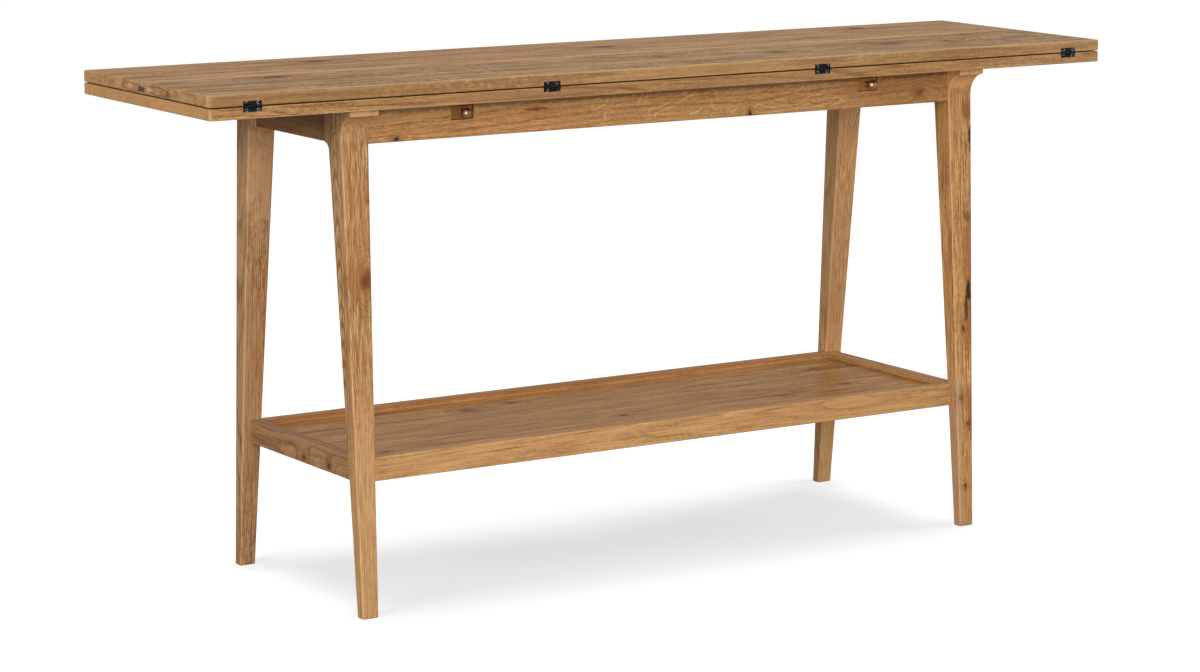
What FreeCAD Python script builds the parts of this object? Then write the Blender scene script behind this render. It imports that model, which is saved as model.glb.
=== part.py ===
import FreeCAD, Part
import math
import os

from FreeCAD import Rotation, Vector

# Folding console table in oak. A loose upper leaf lies on a fixed lower leaf and is hinged to
# its front edge. It turns over through 180 degrees and comes down level with the lower leaf,
# on two supports that pull out through the front apron.
# Millimetres. X runs along the top, Y to the back, Z up. The origin is on the floor, under
# the middle of the top.

# ---- Driving dimensions: top ----
TABLE_HEIGHT = 762.0
TOP_LENGTH = 1578.0
TOP_DEPTH = 400.0
LEAF_THICKNESS = 16.5
LEAF_GAP = 1.5
LEAF_CORNER_RADIUS = 5.0
LEAF_EDGE_ROUND = 1.5
LEAF_PAD_DIAMETER = 10.0
LEAF_PAD_COUNT = 4
LEAF_PAD_END_INSET = 60.0
LEAF_PAD_EDGE_INSET = 25.0

# ---- Driving dimensions: legs ----
LEG_END_OVERHANG = 224.2
LEG_EDGE_OVERHANG = 44.6
LEG_TOP_WIDTH = 46.2
LEG_TOP_DEPTH = 40.2
LEG_FOOT_WIDTH = 26.0
LEG_FOOT_DEPTH = 17.3
FOOT_SET_IN = 8.4
FOOT_SPLAY = 41.8
LEG_ROUND = 3.0
FOOT_CHAMFER = 1.0
LIP_OVERHANG = 15.0
LIP_HEIGHT = 9.2
LIP_COVE_RADIUS = 33.0
HEAD_DEPTH = 74.0
HEAD_COVE_RADIUS = 11.0

# ---- Driving dimensions: aprons ----
APRON_HEIGHT = 52.8
APRON_THICKNESS = 20.0
LONG_APRON_SETBACK = 2.4
END_APRON_SETBACK = 9.3
APRON_EDGE_ROUND = 1.5
TENON_LENGTH = 20.0
TENON_THICKNESS = 8.0
TENON_SHOULDER = 8.0
MORTISE_END_CLEARANCE = 0.5

# ---- Driving dimensions: pull-out supports ----
LOPER_INSET = 155.4
LOPER_WIDTH = 37.0
LOPER_HEIGHT = 27.1
LOPER_SIDE_CLEARANCE = 0.5
LOPER_TOP_CLEARANCE = 0.3
LOPER_BOTTOM_CLEARANCE = 0.3
LOPER_RECESS = 2.5
LOPER_TAIL_CLEARANCE = 0.3
LOPER_CHAMFER = 1.0
GUIDE_LENGTH = 60.0
GUIDE_STRIP_WIDTH = 18.0
KEEPER_THICKNESS = 9.0
STOP_PIN_DIAMETER = 8.0
STOP_PIN_DROP = 7.0
STOP_PIN_DEPTH = 16.0
STOP_PIN_INSET = 12.0
STOP_CLEARANCE = 0.3
KNOB_DIAMETER = 15.0
KNOB_COLLAR_DIAMETER = 9.6
KNOB_NECK_DIAMETER = 6.0
KNOB_PROJECTION = 20.5
KNOB_COLLAR_THICKNESS = 1.6
KNOB_RIM_THICKNESS = 1.4
KNOB_DOME_RISE = 3.4
KNOB_RISE = 10.3
KNOB_STUD_DIAMETER = 4.0
KNOB_STUD_GRIP = 8.0
KNOB_STUD_LENGTH = 28.0

# ---- Driving dimensions: hinges ----
HINGE_COUNT = 4
HINGE_END_INSET = 65.0
HINGE_WIDTH = 28.3
HINGE_SPAN = 15.0
HINGE_PLATE_THICKNESS = 1.5
HINGE_PIN_DIAMETER = 2.0
HINGE_PIN_OFFSET = 0.5
HINGE_PIN_CLEARANCE = 0.05
HINGE_KNUCKLE_GAP = 0.2
HINGE_RELIEF = 0.4
HINGE_MORTISE_CLEARANCE = 0.1
HINGE_SCREW_SPACING = 18.0
HINGE_SCREW_DIAMETER = 2.2
HINGE_SCREW_HEAD_DIAMETER = 4.0
HINGE_SCREW_LENGTH = 12.0

# ---- Driving dimensions: hidden fixings ----
SCREW_DIAMETER = 4.0
SCREW_HEAD_DIAMETER = 8.0
SCREW_HEAD_HEIGHT = 2.4
SCREW_CLEARANCE = 0.05
SCREW_BITE_TOP = 10.0
SCREW_BITE_SIDE = 13.0
BUTTON_SPACING = 200.0
BUTTON_COUNT = 3
BUTTON_WIDTH = 32.0
BUTTON_REACH = 26.0
BUTTON_THICKNESS = 18.0
BUTTON_TONGUE_THICKNESS = 8.0
BUTTON_TONGUE_LENGTH = 7.0
BUTTON_GAP = 1.5
SLOT_DROP = 10.0
SLOT_CLEARANCE = 0.4
SLOT_SIDE_CLEARANCE = 3.0
CORNER_BLOCK_LEG = 70.0
CORNER_BLOCK_HEIGHT = 36.0
CORNER_BLOCK_RISE = 6.0
CORNER_BLOCK_CLEARANCE = 0.3
CORNER_COUNTERBORE = 6.0

# ---- Driving dimensions: shelf ----
SHELF_TOP = 227.0
SHELF_RAIL_HEIGHT = 35.0
SHELF_RAIL_THICKNESS = 18.0
SHELF_END_SETBACK = 13.3
SHELF_EDGE_SETBACK = 16.8
SHELF_EDGE_ROUND = 1.2
SHELF_PANEL_DROP = 9.0
SHELF_PANEL_THICKNESS = 12.0
SHELF_PANEL_CLEARANCE = 0.4
CLEAT_SIZE = 12.0
CLEAT_END_INSET = 20.0
CLEAT_SCREW_INSET = 40.0
CLEAT_SCREW_COUNT = 4
DOWEL_DIAMETER = 6.0
DOWEL_LENGTH = 28.0
DOWEL_SHORT_GRIP = 12.0
DOWEL_RISE = 8.5
DOWEL_CLEARANCE = 0.05

# ---- Levels and places worked out from them ----
HALF_LENGTH = TOP_LENGTH / 2
HALF_DEPTH = TOP_DEPTH / 2
LOWER_TOP = TABLE_HEIGHT - LEAF_THICKNESS - LEAF_GAP
FRAME_TOP = LOWER_TOP - LEAF_THICKNESS
PIVOT_Z = LOWER_TOP + LEAF_GAP / 2
PIVOT_Y = -HALF_DEPTH - HINGE_PIN_OFFSET
APRON_BOTTOM = FRAME_TOP - APRON_HEIGHT
LEG_TOP_X = HALF_LENGTH - LEG_END_OVERHANG
LEG_TOP_Y = HALF_DEPTH - LEG_EDGE_OVERHANG
HEAD_INNER_Y = HALF_DEPTH - LIP_OVERHANG - HEAD_DEPTH
LONG_APRON_FACE = LEG_TOP_Y - LONG_APRON_SETBACK
LONG_APRON_BACK = LONG_APRON_FACE - APRON_THICKNESS
END_APRON_FACE = LEG_TOP_X - END_APRON_SETBACK
END_APRON_BACK = END_APRON_FACE - APRON_THICKNESS
LOPER_X = LEG_TOP_X - LEG_TOP_WIDTH - LOPER_INSET
NOTCH_WIDTH = LOPER_WIDTH + 2 * LOPER_SIDE_CLEARANCE
LOPER_TOP = FRAME_TOP - LOPER_TOP_CLEARANCE
LOPER_BOTTOM = LOPER_TOP - LOPER_HEIGHT
NOTCH_BOTTOM = LOPER_BOTTOM - LOPER_BOTTOM_CLEARANCE
LOPER_FRONT = -LONG_APRON_FACE + LOPER_RECESS
LOPER_TAIL = LONG_APRON_BACK - LOPER_TAIL_CLEARANCE
GUIDE_END = -LONG_APRON_BACK + GUIDE_LENGTH
STOP_PIN_Y = LOPER_TAIL - STOP_PIN_INSET
LOPER_TRAVEL = STOP_PIN_Y - STOP_PIN_DIAMETER / 2 - GUIDE_END - STOP_CLEARANCE
KNOB_Z = LOPER_BOTTOM + KNOB_RISE
SHELF_BOTTOM = SHELF_TOP - SHELF_RAIL_HEIGHT
SHELF_MIDDLE = SHELF_TOP - SHELF_RAIL_HEIGHT / 2
PANEL_TOP = SHELF_TOP - SHELF_PANEL_DROP
PANEL_BOTTOM = PANEL_TOP - SHELF_PANEL_THICKNESS
HINGE_PITCH = (TOP_LENGTH - 2 * HINGE_END_INSET) / (HINGE_COUNT - 1)
HINGE_PLACES = [-HALF_LENGTH + HINGE_END_INSET + HINGE_PITCH * i for i in range(HINGE_COUNT)]
PAD_PITCH = (TOP_LENGTH - 2 * LEAF_PAD_END_INSET) / (LEAF_PAD_COUNT - 1)
KNUCKLE_RADIUS = HINGE_PLATE_THICKNESS + HINGE_PIN_OFFSET
KNUCKLE_LENGTH = (HINGE_WIDTH - 2 * HINGE_KNUCKLE_GAP) / 3

FREE = 5.0  # how far a cutting tool runs past the face that it opens


# ---- Small helpers ----
def box(x0, x1, y0, y1, z0, z1):
    """Block between two corners."""
    return Part.makeBox(x1 - x0, y1 - y0, z1 - z0, Vector(x0, y0, z0))


def rod(start, end, diameter):
    """Round bar from one point to another."""
    axis = end - start
    return Part.makeCylinder(diameter / 2, axis.Length, start, axis)


def prism(points, depth):
    """Flat outline, given by its corners, pushed along a vector."""
    return Part.Face(Part.makePolygon(points + [points[0]])).extrude(depth)


def mirror_x(shape):
    """The same piece on the other end of the table."""
    return shape.mirror(Vector(0, 0, 0), Vector(1, 0, 0))


def mirror_y(shape):
    """The same piece on the other long side of the table."""
    return shape.mirror(Vector(0, 0, 0), Vector(0, 1, 0))


def four_corners(shape):
    """A piece made for the rear right corner, repeated in all four."""
    pair = [shape, mirror_x(shape)]
    return pair + [mirror_y(piece) for piece in pair]


def level_edges(shape, z):
    """Edges that lie wholly at one level."""
    return [e for e in shape.Edges if all(abs(v.Z - z) < 0.01 for v in e.Vertexes)]


def wood_screw(head, direction, length):
    """Pan-head screw: the head stands out from the point, the shank goes in."""
    step = Vector(direction).normalize()
    shank = rod(head, head + step * length, SCREW_DIAMETER)
    cap = rod(head - step * SCREW_HEAD_HEIGHT, head, SCREW_HEAD_DIAMETER)
    return cap.fuse(shank).removeSplitter()


def screw_hole(head, direction, length):
    """Hole for the shank of a wood screw."""
    step = Vector(direction).normalize()
    return rod(head, head + step * length, SCREW_DIAMETER + 2 * SCREW_CLEARANCE)


def cut_all(shape, tools):
    """Takes a list of tools out of a piece."""
    return shape.cut(tools) if tools else shape


# ---- Leg geometry ----
def leg_outer_x(z):
    """Distance from the middle to the outer side of a leg."""
    return LEG_TOP_X - FOOT_SET_IN * (1 - z / FRAME_TOP)


def leg_inner_x(z):
    """Distance from the middle to the inner side of a leg."""
    taper = (LEG_TOP_WIDTH - LEG_FOOT_WIDTH) * z / FRAME_TOP
    return leg_outer_x(z) - LEG_FOOT_WIDTH - taper


def leg_outer_y(z):
    """Distance from the middle to the front or back face of a leg."""
    return LEG_TOP_Y + FOOT_SPLAY * (1 - z / FRAME_TOP)


def leg_inner_y(z):
    """Distance from the middle to the inner face of a leg."""
    taper = (LEG_TOP_DEPTH - LEG_FOOT_DEPTH) * z / FRAME_TOP
    return leg_outer_y(z) - LEG_FOOT_DEPTH - taper


def cove(foot, top, away, corner, radius):
    """Hollow that leaves a leg face smoothly and ends at a corner above it.

    Gives the point where it leaves the face, a point half way and the corner.
    """
    up = (top - foot).normalize()
    out = (away - up * away.dot(up)).normalize()
    start = foot - corner + out * radius
    along = start.dot(up)
    rise = -along - math.sqrt(along * along - start.dot(start) + radius * radius)
    centre = foot + up * rise + out * radius
    touch = centre - out * radius
    middle = centre + (touch + corner - centre * 2).normalize() * radius
    return touch, middle, corner


def leg_side_face():
    """Outline of a rear leg seen from the end of the table, in the YZ plane."""
    outer_foot = Vector(0, leg_outer_y(0), 0)
    outer_top = Vector(0, leg_outer_y(FRAME_TOP), FRAME_TOP)
    inner_foot = Vector(0, leg_inner_y(0), 0)
    inner_top = Vector(0, leg_inner_y(FRAME_TOP), FRAME_TOP)
    lip_y = HALF_DEPTH - LIP_OVERHANG
    lip_corner = Vector(0, lip_y, FRAME_TOP - LIP_HEIGHT)
    head_corner = Vector(0, HEAD_INNER_Y, APRON_BOTTOM)
    outer = cove(outer_foot, outer_top, Vector(0, 1, 0), lip_corner, LIP_COVE_RADIUS)
    inner = cove(inner_foot, inner_top, Vector(0, -1, 0), head_corner, HEAD_COVE_RADIUS)
    lip_top = Vector(0, lip_y, FRAME_TOP)
    head_top = Vector(0, HEAD_INNER_Y, FRAME_TOP)
    edges = [
        Part.LineSegment(outer_foot, outer[0]).toShape(),
        Part.Arc(outer[0], outer[1], outer[2]).toShape(),
        Part.LineSegment(lip_corner, lip_top).toShape(),
        Part.LineSegment(lip_top, head_top).toShape(),
        Part.LineSegment(head_top, head_corner).toShape(),
        Part.Arc(inner[2], inner[1], inner[0]).toShape(),
        Part.LineSegment(inner[0], inner_foot).toShape(),
        Part.LineSegment(inner_foot, outer_foot).toShape(),
    ]
    return Part.Face(Part.Wire(edges))


def rear_right_leg():
    """Leg with its flared head, rounded arrises and eased foot."""
    side = leg_side_face().extrude(Vector(HALF_LENGTH, 0, 0))
    front = prism(
        [
            Vector(leg_inner_x(0), 0, 0),
            Vector(leg_outer_x(0), 0, 0),
            Vector(leg_outer_x(FRAME_TOP), 0, FRAME_TOP),
            Vector(leg_inner_x(FRAME_TOP), 0, FRAME_TOP),
        ],
        Vector(0, HALF_DEPTH, 0),
    )
    leg = side.common(front).removeSplitter()
    arrises = [e for e in leg.Edges if is_leg_arris(e)]
    leg = leg.makeFillet(LEG_ROUND, arrises)
    return leg.makeChamfer(FOOT_CHAMFER, level_edges(leg, 0))


def is_leg_arris(edge):
    """Long edges of a leg and the edges of its two coves."""
    heights = [v.Z for v in edge.Vertexes]
    runs_up = max(heights) - min(heights) > HEAD_COVE_RADIUS / 2
    return runs_up and max(heights) < FRAME_TOP - LIP_HEIGHT / 2


# ---- Frame joints ----
def long_tenon():
    """Tenon of a long apron in the rear right leg."""
    middle = LONG_APRON_FACE - APRON_THICKNESS / 2
    root = leg_inner_x(APRON_BOTTOM)
    return box(
        leg_inner_x(FRAME_TOP) - FREE,
        root + TENON_LENGTH,
        middle - TENON_THICKNESS / 2,
        middle + TENON_THICKNESS / 2,
        APRON_BOTTOM + TENON_SHOULDER,
        FRAME_TOP - TENON_SHOULDER,
    )


def end_tenon():
    """Tenon of an end apron in the rear right leg."""
    middle = END_APRON_FACE - APRON_THICKNESS / 2
    return box(
        middle - TENON_THICKNESS / 2,
        middle + TENON_THICKNESS / 2,
        HEAD_INNER_Y - FREE,
        HEAD_INNER_Y + TENON_LENGTH,
        APRON_BOTTOM + TENON_SHOULDER,
        FRAME_TOP - TENON_SHOULDER,
    )


def mortises():
    """The two tenons again, a little longer, to be cut from the leg."""
    long_one = long_tenon()
    long_one = long_one.fuse(long_one.translated(Vector(MORTISE_END_CLEARANCE, 0, 0)))
    end_one = end_tenon()
    end_one = end_one.fuse(end_one.translated(Vector(0, MORTISE_END_CLEARANCE, 0)))
    return [long_one, end_one]


# ---- Fixings under the top ----
def button_frames():
    """Place and inward direction of each button, on the inner face of its apron."""
    places = []
    for i in range(BUTTON_COUNT):
        x = BUTTON_SPACING * (i - (BUTTON_COUNT - 1) / 2)
        places.append((Vector(x, -LONG_APRON_BACK, 0), 90))
        places.append((Vector(x, LONG_APRON_BACK, 0), -90))
    places.append((Vector(-END_APRON_BACK, 0, 0), 0))
    places.append((Vector(END_APRON_BACK, 0, 0), 180))
    return places


def placed(shape, place, angle):
    """A piece made against an apron at the origin, moved to its own apron."""
    copy = shape.copy()
    copy.Placement = FreeCAD.Placement(place, Rotation(Vector(0, 0, 1), angle))
    return copy


def button():
    """Wooden button; its tongue reaches into the apron, which lies at negative X."""
    slot_top = FRAME_TOP - SLOT_DROP
    half = BUTTON_WIDTH / 2
    body = box(BUTTON_GAP, BUTTON_REACH, -half, half, FRAME_TOP - BUTTON_THICKNESS, FRAME_TOP)
    tongue_bottom = slot_top - BUTTON_TONGUE_THICKNESS
    tongue = box(-BUTTON_TONGUE_LENGTH, BUTTON_GAP, -half, half, tongue_bottom, slot_top)
    return body.fuse(tongue).removeSplitter()


def button_slot():
    """Slot in the apron for the tongue of a button."""
    half = BUTTON_WIDTH / 2 + SLOT_SIDE_CLEARANCE
    top = FRAME_TOP - SLOT_DROP
    bottom = top - BUTTON_TONGUE_THICKNESS - SLOT_CLEARANCE
    return box(-BUTTON_TONGUE_LENGTH - BUTTON_GAP, FREE, -half, half, bottom, top)


def button_screw_line():
    """Head point and length of the screw that holds a button to the lower leaf."""
    middle = (BUTTON_GAP + BUTTON_REACH) / 2
    return Vector(middle, 0, FRAME_TOP - BUTTON_THICKNESS), BUTTON_THICKNESS + SCREW_BITE_TOP


def corner_block():
    """Three-cornered block glued into the rear right corner, let round the leg head."""
    low = APRON_BOTTOM + CORNER_BLOCK_RISE
    high = low + CORNER_BLOCK_HEIGHT
    x1 = END_APRON_BACK
    y1 = LONG_APRON_BACK
    outline = [
        Vector(x1, y1, low),
        Vector(x1 - CORNER_BLOCK_LEG, y1, low),
        Vector(x1, y1 - CORNER_BLOCK_LEG, low),
    ]
    block = prism(outline, Vector(0, 0, high - low))
    head_x = leg_inner_x(high) - CORNER_BLOCK_CLEARANCE
    head_y = HEAD_INNER_Y - CORNER_BLOCK_CLEARANCE
    return block.cut(box(head_x, x1 + FREE, head_y, y1 + FREE, low - FREE, high + FREE))


def corner_screw_lines():
    """Head point, direction and length of the two screws of the rear right corner block."""
    z = APRON_BOTTOM + CORNER_BLOCK_RISE + CORNER_BLOCK_HEIGHT / 2
    slant = END_APRON_BACK + LONG_APRON_BACK - CORNER_BLOCK_LEG
    x = (END_APRON_BACK - CORNER_BLOCK_LEG + leg_inner_x(z)) / 2
    y = (LONG_APRON_BACK - CORNER_BLOCK_LEG + HEAD_INNER_Y) / 2
    into_long = Vector(x, slant - x + CORNER_COUNTERBORE, z)
    into_end = Vector(slant - y + CORNER_COUNTERBORE, y, z)
    return [
        (into_long, Vector(0, 1, 0), LONG_APRON_BACK - into_long.y + SCREW_BITE_SIDE),
        (into_end, Vector(1, 0, 0), END_APRON_BACK - into_end.x + SCREW_BITE_SIDE),
    ]


def guide_screw_lines(x):
    """Head points of the screws that hold the guide of the support at x; they point up."""
    side = NOTCH_WIDTH / 2 + GUIDE_STRIP_WIDTH / 2
    start = -LONG_APRON_BACK + GUIDE_LENGTH / 4
    end = GUIDE_END - GUIDE_LENGTH / 4
    bottom = NOTCH_BOTTOM - KEEPER_THICKNESS
    return [Vector(x + s * side, y, bottom) for s in (-1, 1) for y in (start, end)]


GUIDE_SCREW_LENGTH = FRAME_TOP - NOTCH_BOTTOM + KEEPER_THICKNESS + SCREW_BITE_TOP


# ---- Leaves and hinges ----
def leaf(bottom):
    """Solid-wood leaf with eased edges."""
    board = box(-HALF_LENGTH, HALF_LENGTH, -HALF_DEPTH, HALF_DEPTH, bottom, bottom + LEAF_THICKNESS)
    upright = [e for e in board.Edges if abs(e.Vertexes[0].Z - e.Vertexes[1].Z) > 1]
    board = board.makeFillet(LEAF_CORNER_RADIUS, upright)
    rims = level_edges(board, bottom) + level_edges(board, bottom + LEAF_THICKNESS)
    return board.makeFillet(LEAF_EDGE_ROUND, rims)


def hinge_mortise(x, side):
    """Room for one hinge in the edge of the leaf above (side 1) or below (side -1)."""
    half = HINGE_WIDTH / 2 + HINGE_MORTISE_CLEARANCE
    reach = HINGE_SPAN / 2 + HINGE_MORTISE_CLEARANCE
    z0, z1 = sorted([PIVOT_Z, PIVOT_Z + side * reach])
    back = -HALF_DEPTH + HINGE_PLATE_THICKNESS
    pocket = box(x - half, x + half, -HALF_DEPTH - FREE, back, z0, z1)
    start = Vector(x - half, PIVOT_Y, PIVOT_Z)
    knuckle = rod(start, start + Vector(2 * half, 0, 0), 2 * (KNUCKLE_RADIUS + HINGE_RELIEF))
    return pocket.fuse(knuckle)


def hinge_screw_points(x, side):
    """Centres of the screw heads on the face of one hinge plate."""
    middle = (KNUCKLE_RADIUS + HINGE_RELIEF + HINGE_SPAN / 2) / 2
    z = PIVOT_Z + side * middle
    return [Vector(x + s * HINGE_SCREW_SPACING / 2, -HALF_DEPTH, z) for s in (-1, 1)]


def hinge_screw(point):
    """Countersunk screw driven into the edge of a leaf."""
    radius = HINGE_SCREW_DIAMETER / 2
    sink = HINGE_SCREW_HEAD_DIAMETER / 2 - radius
    inward = Vector(0, 1, 0)
    head = Part.makeCone(HINGE_SCREW_HEAD_DIAMETER / 2, radius, sink, point, inward)
    shank = rod(point, point + inward * HINGE_SCREW_LENGTH, HINGE_SCREW_DIAMETER)
    return head.fuse(shank).removeSplitter()


def knuckle_spans(x, side):
    """Start and end of the knuckles of one plate: one in the middle above, two below."""
    half = HINGE_WIDTH / 2
    step = KNUCKLE_LENGTH + HINGE_KNUCKLE_GAP
    starts = [x - half + step * i for i in range(3)]
    mine = starts[1:2] if side > 0 else starts[0:3:2]
    return [(s, s + KNUCKLE_LENGTH) for s in mine]


def hinge_plate(x, side):
    """One leaf of a butt hinge with its knuckles."""
    z0, z1 = sorted([PIVOT_Z, PIVOT_Z + side * HINGE_SPAN / 2])
    half = HINGE_WIDTH / 2
    back = -HALF_DEPTH + HINGE_PLATE_THICKNESS
    plate = box(x - half, x + half, -HALF_DEPTH, back, z0, z1)
    for start, end in knuckle_spans(x, -side):
        room = KNUCKLE_RADIUS + HINGE_RELIEF
        low = Vector(start - HINGE_KNUCKLE_GAP, PIVOT_Y, PIVOT_Z)
        plate = plate.cut(rod(low, low + Vector(end - start + 2 * HINGE_KNUCKLE_GAP, 0, 0), 2 * room))
    for start, end in knuckle_spans(x, side):
        plate = plate.fuse(
            rod(Vector(start, PIVOT_Y, PIVOT_Z), Vector(end, PIVOT_Y, PIVOT_Z), 2 * KNUCKLE_RADIUS)
        )
    slack = HINGE_PIN_CLEARANCE if side > 0 else 0
    plate = plate.cut(pin_at(x, HINGE_PIN_DIAMETER + 2 * slack))
    return plate.cut([hinge_screw(p) for p in hinge_screw_points(x, side)])


def pin_at(x, diameter):
    """Hinge pin as long as the hinge is wide."""
    half = HINGE_WIDTH / 2
    return rod(Vector(x - half, PIVOT_Y, PIVOT_Z), Vector(x + half, PIVOT_Y, PIVOT_Z), diameter)


def upper_leaf():
    """Leaf that turns over."""
    tools = [hinge_mortise(x, 1) for x in HINGE_PLACES]
    tools += [hinge_screw(p) for x in HINGE_PLACES for p in hinge_screw_points(x, 1)]
    return cut_all(leaf(TABLE_HEIGHT - LEAF_THICKNESS), tools)


def lower_leaf():
    """Leaf fixed to the frame, with the holes of every screw that enters it."""
    tools = [hinge_mortise(x, -1) for x in HINGE_PLACES]
    tools += [hinge_screw(p) for x in HINGE_PLACES for p in hinge_screw_points(x, -1)]
    head, length = button_screw_line()
    hole = screw_hole(head, Vector(0, 0, 1), length)
    tools += [placed(hole, place, angle) for place, angle in button_frames()]
    for x in (-LOPER_X, LOPER_X):
        for point in guide_screw_lines(x):
            tools.append(screw_hole(point, Vector(0, 0, 1), GUIDE_SCREW_LENGTH))
    return cut_all(leaf(FRAME_TOP), tools)


def leaf_pads():
    """Thin pads stuck along the back of the lower leaf, which hold the gap open."""
    y = HALF_DEPTH - LEAF_PAD_EDGE_INSET
    pads = []
    for i in range(LEAF_PAD_COUNT):
        x = -HALF_LENGTH + LEAF_PAD_END_INSET + PAD_PITCH * i
        low = Vector(x, y, LOWER_TOP)
        pads.append(rod(low, low + Vector(0, 0, LEAF_GAP), LEAF_PAD_DIAMETER))
    return pads


# ---- Aprons ----
def long_apron():
    """Rear apron: shoulders that follow the legs, tenons, slots and screw holes."""
    reach_low = leg_inner_x(APRON_BOTTOM)
    reach_top = leg_inner_x(FRAME_TOP)
    outline = [
        Vector(-reach_low, LONG_APRON_BACK, APRON_BOTTOM),
        Vector(reach_low, LONG_APRON_BACK, APRON_BOTTOM),
        Vector(reach_top, LONG_APRON_BACK, FRAME_TOP),
        Vector(-reach_top, LONG_APRON_BACK, FRAME_TOP),
    ]
    apron = prism(outline, Vector(0, APRON_THICKNESS, 0))
    lower = [e for e in level_edges(apron, APRON_BOTTOM) if e.Length > APRON_THICKNESS * 2]
    apron = apron.makeFillet(APRON_EDGE_ROUND, lower)
    tenon = long_tenon()
    apron = apron.fuse([tenon, mirror_x(tenon)]).removeSplitter()
    head, direction, length = corner_screw_lines()[0]
    hole = screw_hole(head, direction, length)
    tools = [hole, mirror_x(hole)]
    tools += [placed(button_slot(), p, a) for p, a in button_frames() if a == -90]
    return cut_all(apron, tools)


def front_apron():
    """Front apron: the rear one turned round, with two notches for the supports."""
    notches = []
    for x in (-LOPER_X, LOPER_X):
        half = NOTCH_WIDTH / 2
        notches.append(
            box(x - half, x + half, -LONG_APRON_FACE - FREE, FREE - LONG_APRON_BACK,
                NOTCH_BOTTOM, FRAME_TOP + FREE)
        )
    return cut_all(mirror_y(long_apron()), notches)


def end_apron():
    """Right end apron between the heads of the legs."""
    apron = box(END_APRON_BACK, END_APRON_FACE, -HEAD_INNER_Y, HEAD_INNER_Y, APRON_BOTTOM, FRAME_TOP)
    lower = [e for e in level_edges(apron, APRON_BOTTOM) if e.Length > APRON_THICKNESS * 2]
    apron = apron.makeFillet(APRON_EDGE_ROUND, lower)
    tenon = end_tenon()
    apron = apron.fuse([tenon, mirror_y(tenon)]).removeSplitter()
    head, direction, length = corner_screw_lines()[1]
    hole = screw_hole(head, direction, length)
    tools = [hole, mirror_y(hole)]
    tools += [placed(button_slot(), p, a) for p, a in button_frames() if a == 180]
    return cut_all(apron, tools)


# ---- Pull-out supports ----
def loper(x):
    """Wooden bar that slides out under the opened leaf."""
    half = LOPER_WIDTH / 2
    bar = box(x - half, x + half, LOPER_FRONT, LOPER_TAIL, LOPER_BOTTOM, LOPER_TOP)
    front = [e for e in bar.Edges if all(abs(v.Y - LOPER_FRONT) < 0.01 for v in e.Vertexes)]
    bar = bar.makeChamfer(LOPER_CHAMFER, front)
    face = Vector(x, LOPER_FRONT, KNOB_Z)
    depth = KNOB_STUD_LENGTH - KNOB_STUD_GRIP
    stud_hole = rod(face, face + Vector(0, depth, 0), KNOB_STUD_DIAMETER + 2 * SCREW_CLEARANCE)
    pin_top = Vector(x, STOP_PIN_Y, LOPER_BOTTOM + STOP_PIN_DEPTH)
    pin_hole = rod(pin_top, Vector(x, STOP_PIN_Y, LOPER_BOTTOM - FREE), STOP_PIN_DIAMETER)
    return bar.cut([stud_hole, pin_hole])


def stop_pin(x):
    """Dowel under the tail of a support; it meets the guide and ends the pull."""
    top = Vector(x, STOP_PIN_Y, LOPER_BOTTOM + STOP_PIN_DEPTH)
    return rod(top, Vector(x, STOP_PIN_Y, LOPER_BOTTOM - STOP_PIN_DROP), STOP_PIN_DIAMETER)


def knob_outline():
    """Half section of a knob: collar, waisted neck and domed head, standing on Z."""
    neck = KNOB_NECK_DIAMETER / 2
    rim = KNOB_DIAMETER / 2
    collar = KNOB_COLLAR_DIAMETER / 2
    rim_top = KNOB_PROJECTION - KNOB_DOME_RISE
    under = rim_top - KNOB_RIM_THICKNESS
    foot_centre = Vector(collar, 0, KNOB_COLLAR_THICKNESS + collar - neck)
    throat_centre = Vector(rim, 0, under - (rim - neck))
    dome = (rim * rim + KNOB_DOME_RISE * KNOB_DOME_RISE) / (2 * KNOB_DOME_RISE)
    half = math.asin(rim / dome) / 2
    dome_centre = Vector(0, 0, KNOB_PROJECTION - dome)
    corners = [
        Vector(0, 0, 0),
        Vector(collar, 0, 0),
        Vector(collar, 0, KNOB_COLLAR_THICKNESS),
        Vector(neck, 0, foot_centre.z),
        Vector(neck, 0, throat_centre.z),
        Vector(rim, 0, under),
        Vector(rim, 0, rim_top),
        Vector(0, 0, KNOB_PROJECTION),
    ]
    foot_middle = foot_centre + Vector(-1, 0, -1).normalize() * (collar - neck)
    throat_middle = throat_centre + Vector(-1, 0, 1).normalize() * (rim - neck)
    dome_middle = dome_centre + Vector(math.sin(half), 0, math.cos(half)) * dome
    edges = [
        Part.LineSegment(corners[0], corners[1]).toShape(),
        Part.LineSegment(corners[1], corners[2]).toShape(),
        Part.Arc(corners[2], foot_middle, corners[3]).toShape(),
        Part.LineSegment(corners[3], corners[4]).toShape(),
        Part.Arc(corners[4], throat_middle, corners[5]).toShape(),
        Part.LineSegment(corners[5], corners[6]).toShape(),
        Part.Arc(corners[6], dome_middle, corners[7]).toShape(),
        Part.LineSegment(corners[7], corners[0]).toShape(),
    ]
    return Part.Face(Part.Wire(edges))


def knob(x):
    """Turned mushroom knob standing out towards the front."""
    turned = knob_outline().revolve(Vector(0, 0, 0), Vector(0, 0, 1), 360)
    turned.rotate(Vector(0, 0, 0), Vector(1, 0, 0), 90)
    face = Vector(x, LOPER_FRONT, KNOB_Z)
    turned.translate(face)
    grip = rod(face, face - Vector(0, KNOB_STUD_GRIP, 0), KNOB_STUD_DIAMETER + 2 * SCREW_CLEARANCE)
    return turned.cut(grip)


def knob_stud(x):
    """Double-ended screw that joins a knob to its support."""
    start = Vector(x, LOPER_FRONT - KNOB_STUD_GRIP, KNOB_Z)
    return rod(start, start + Vector(0, KNOB_STUD_LENGTH, 0), KNOB_STUD_DIAMETER)


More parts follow.
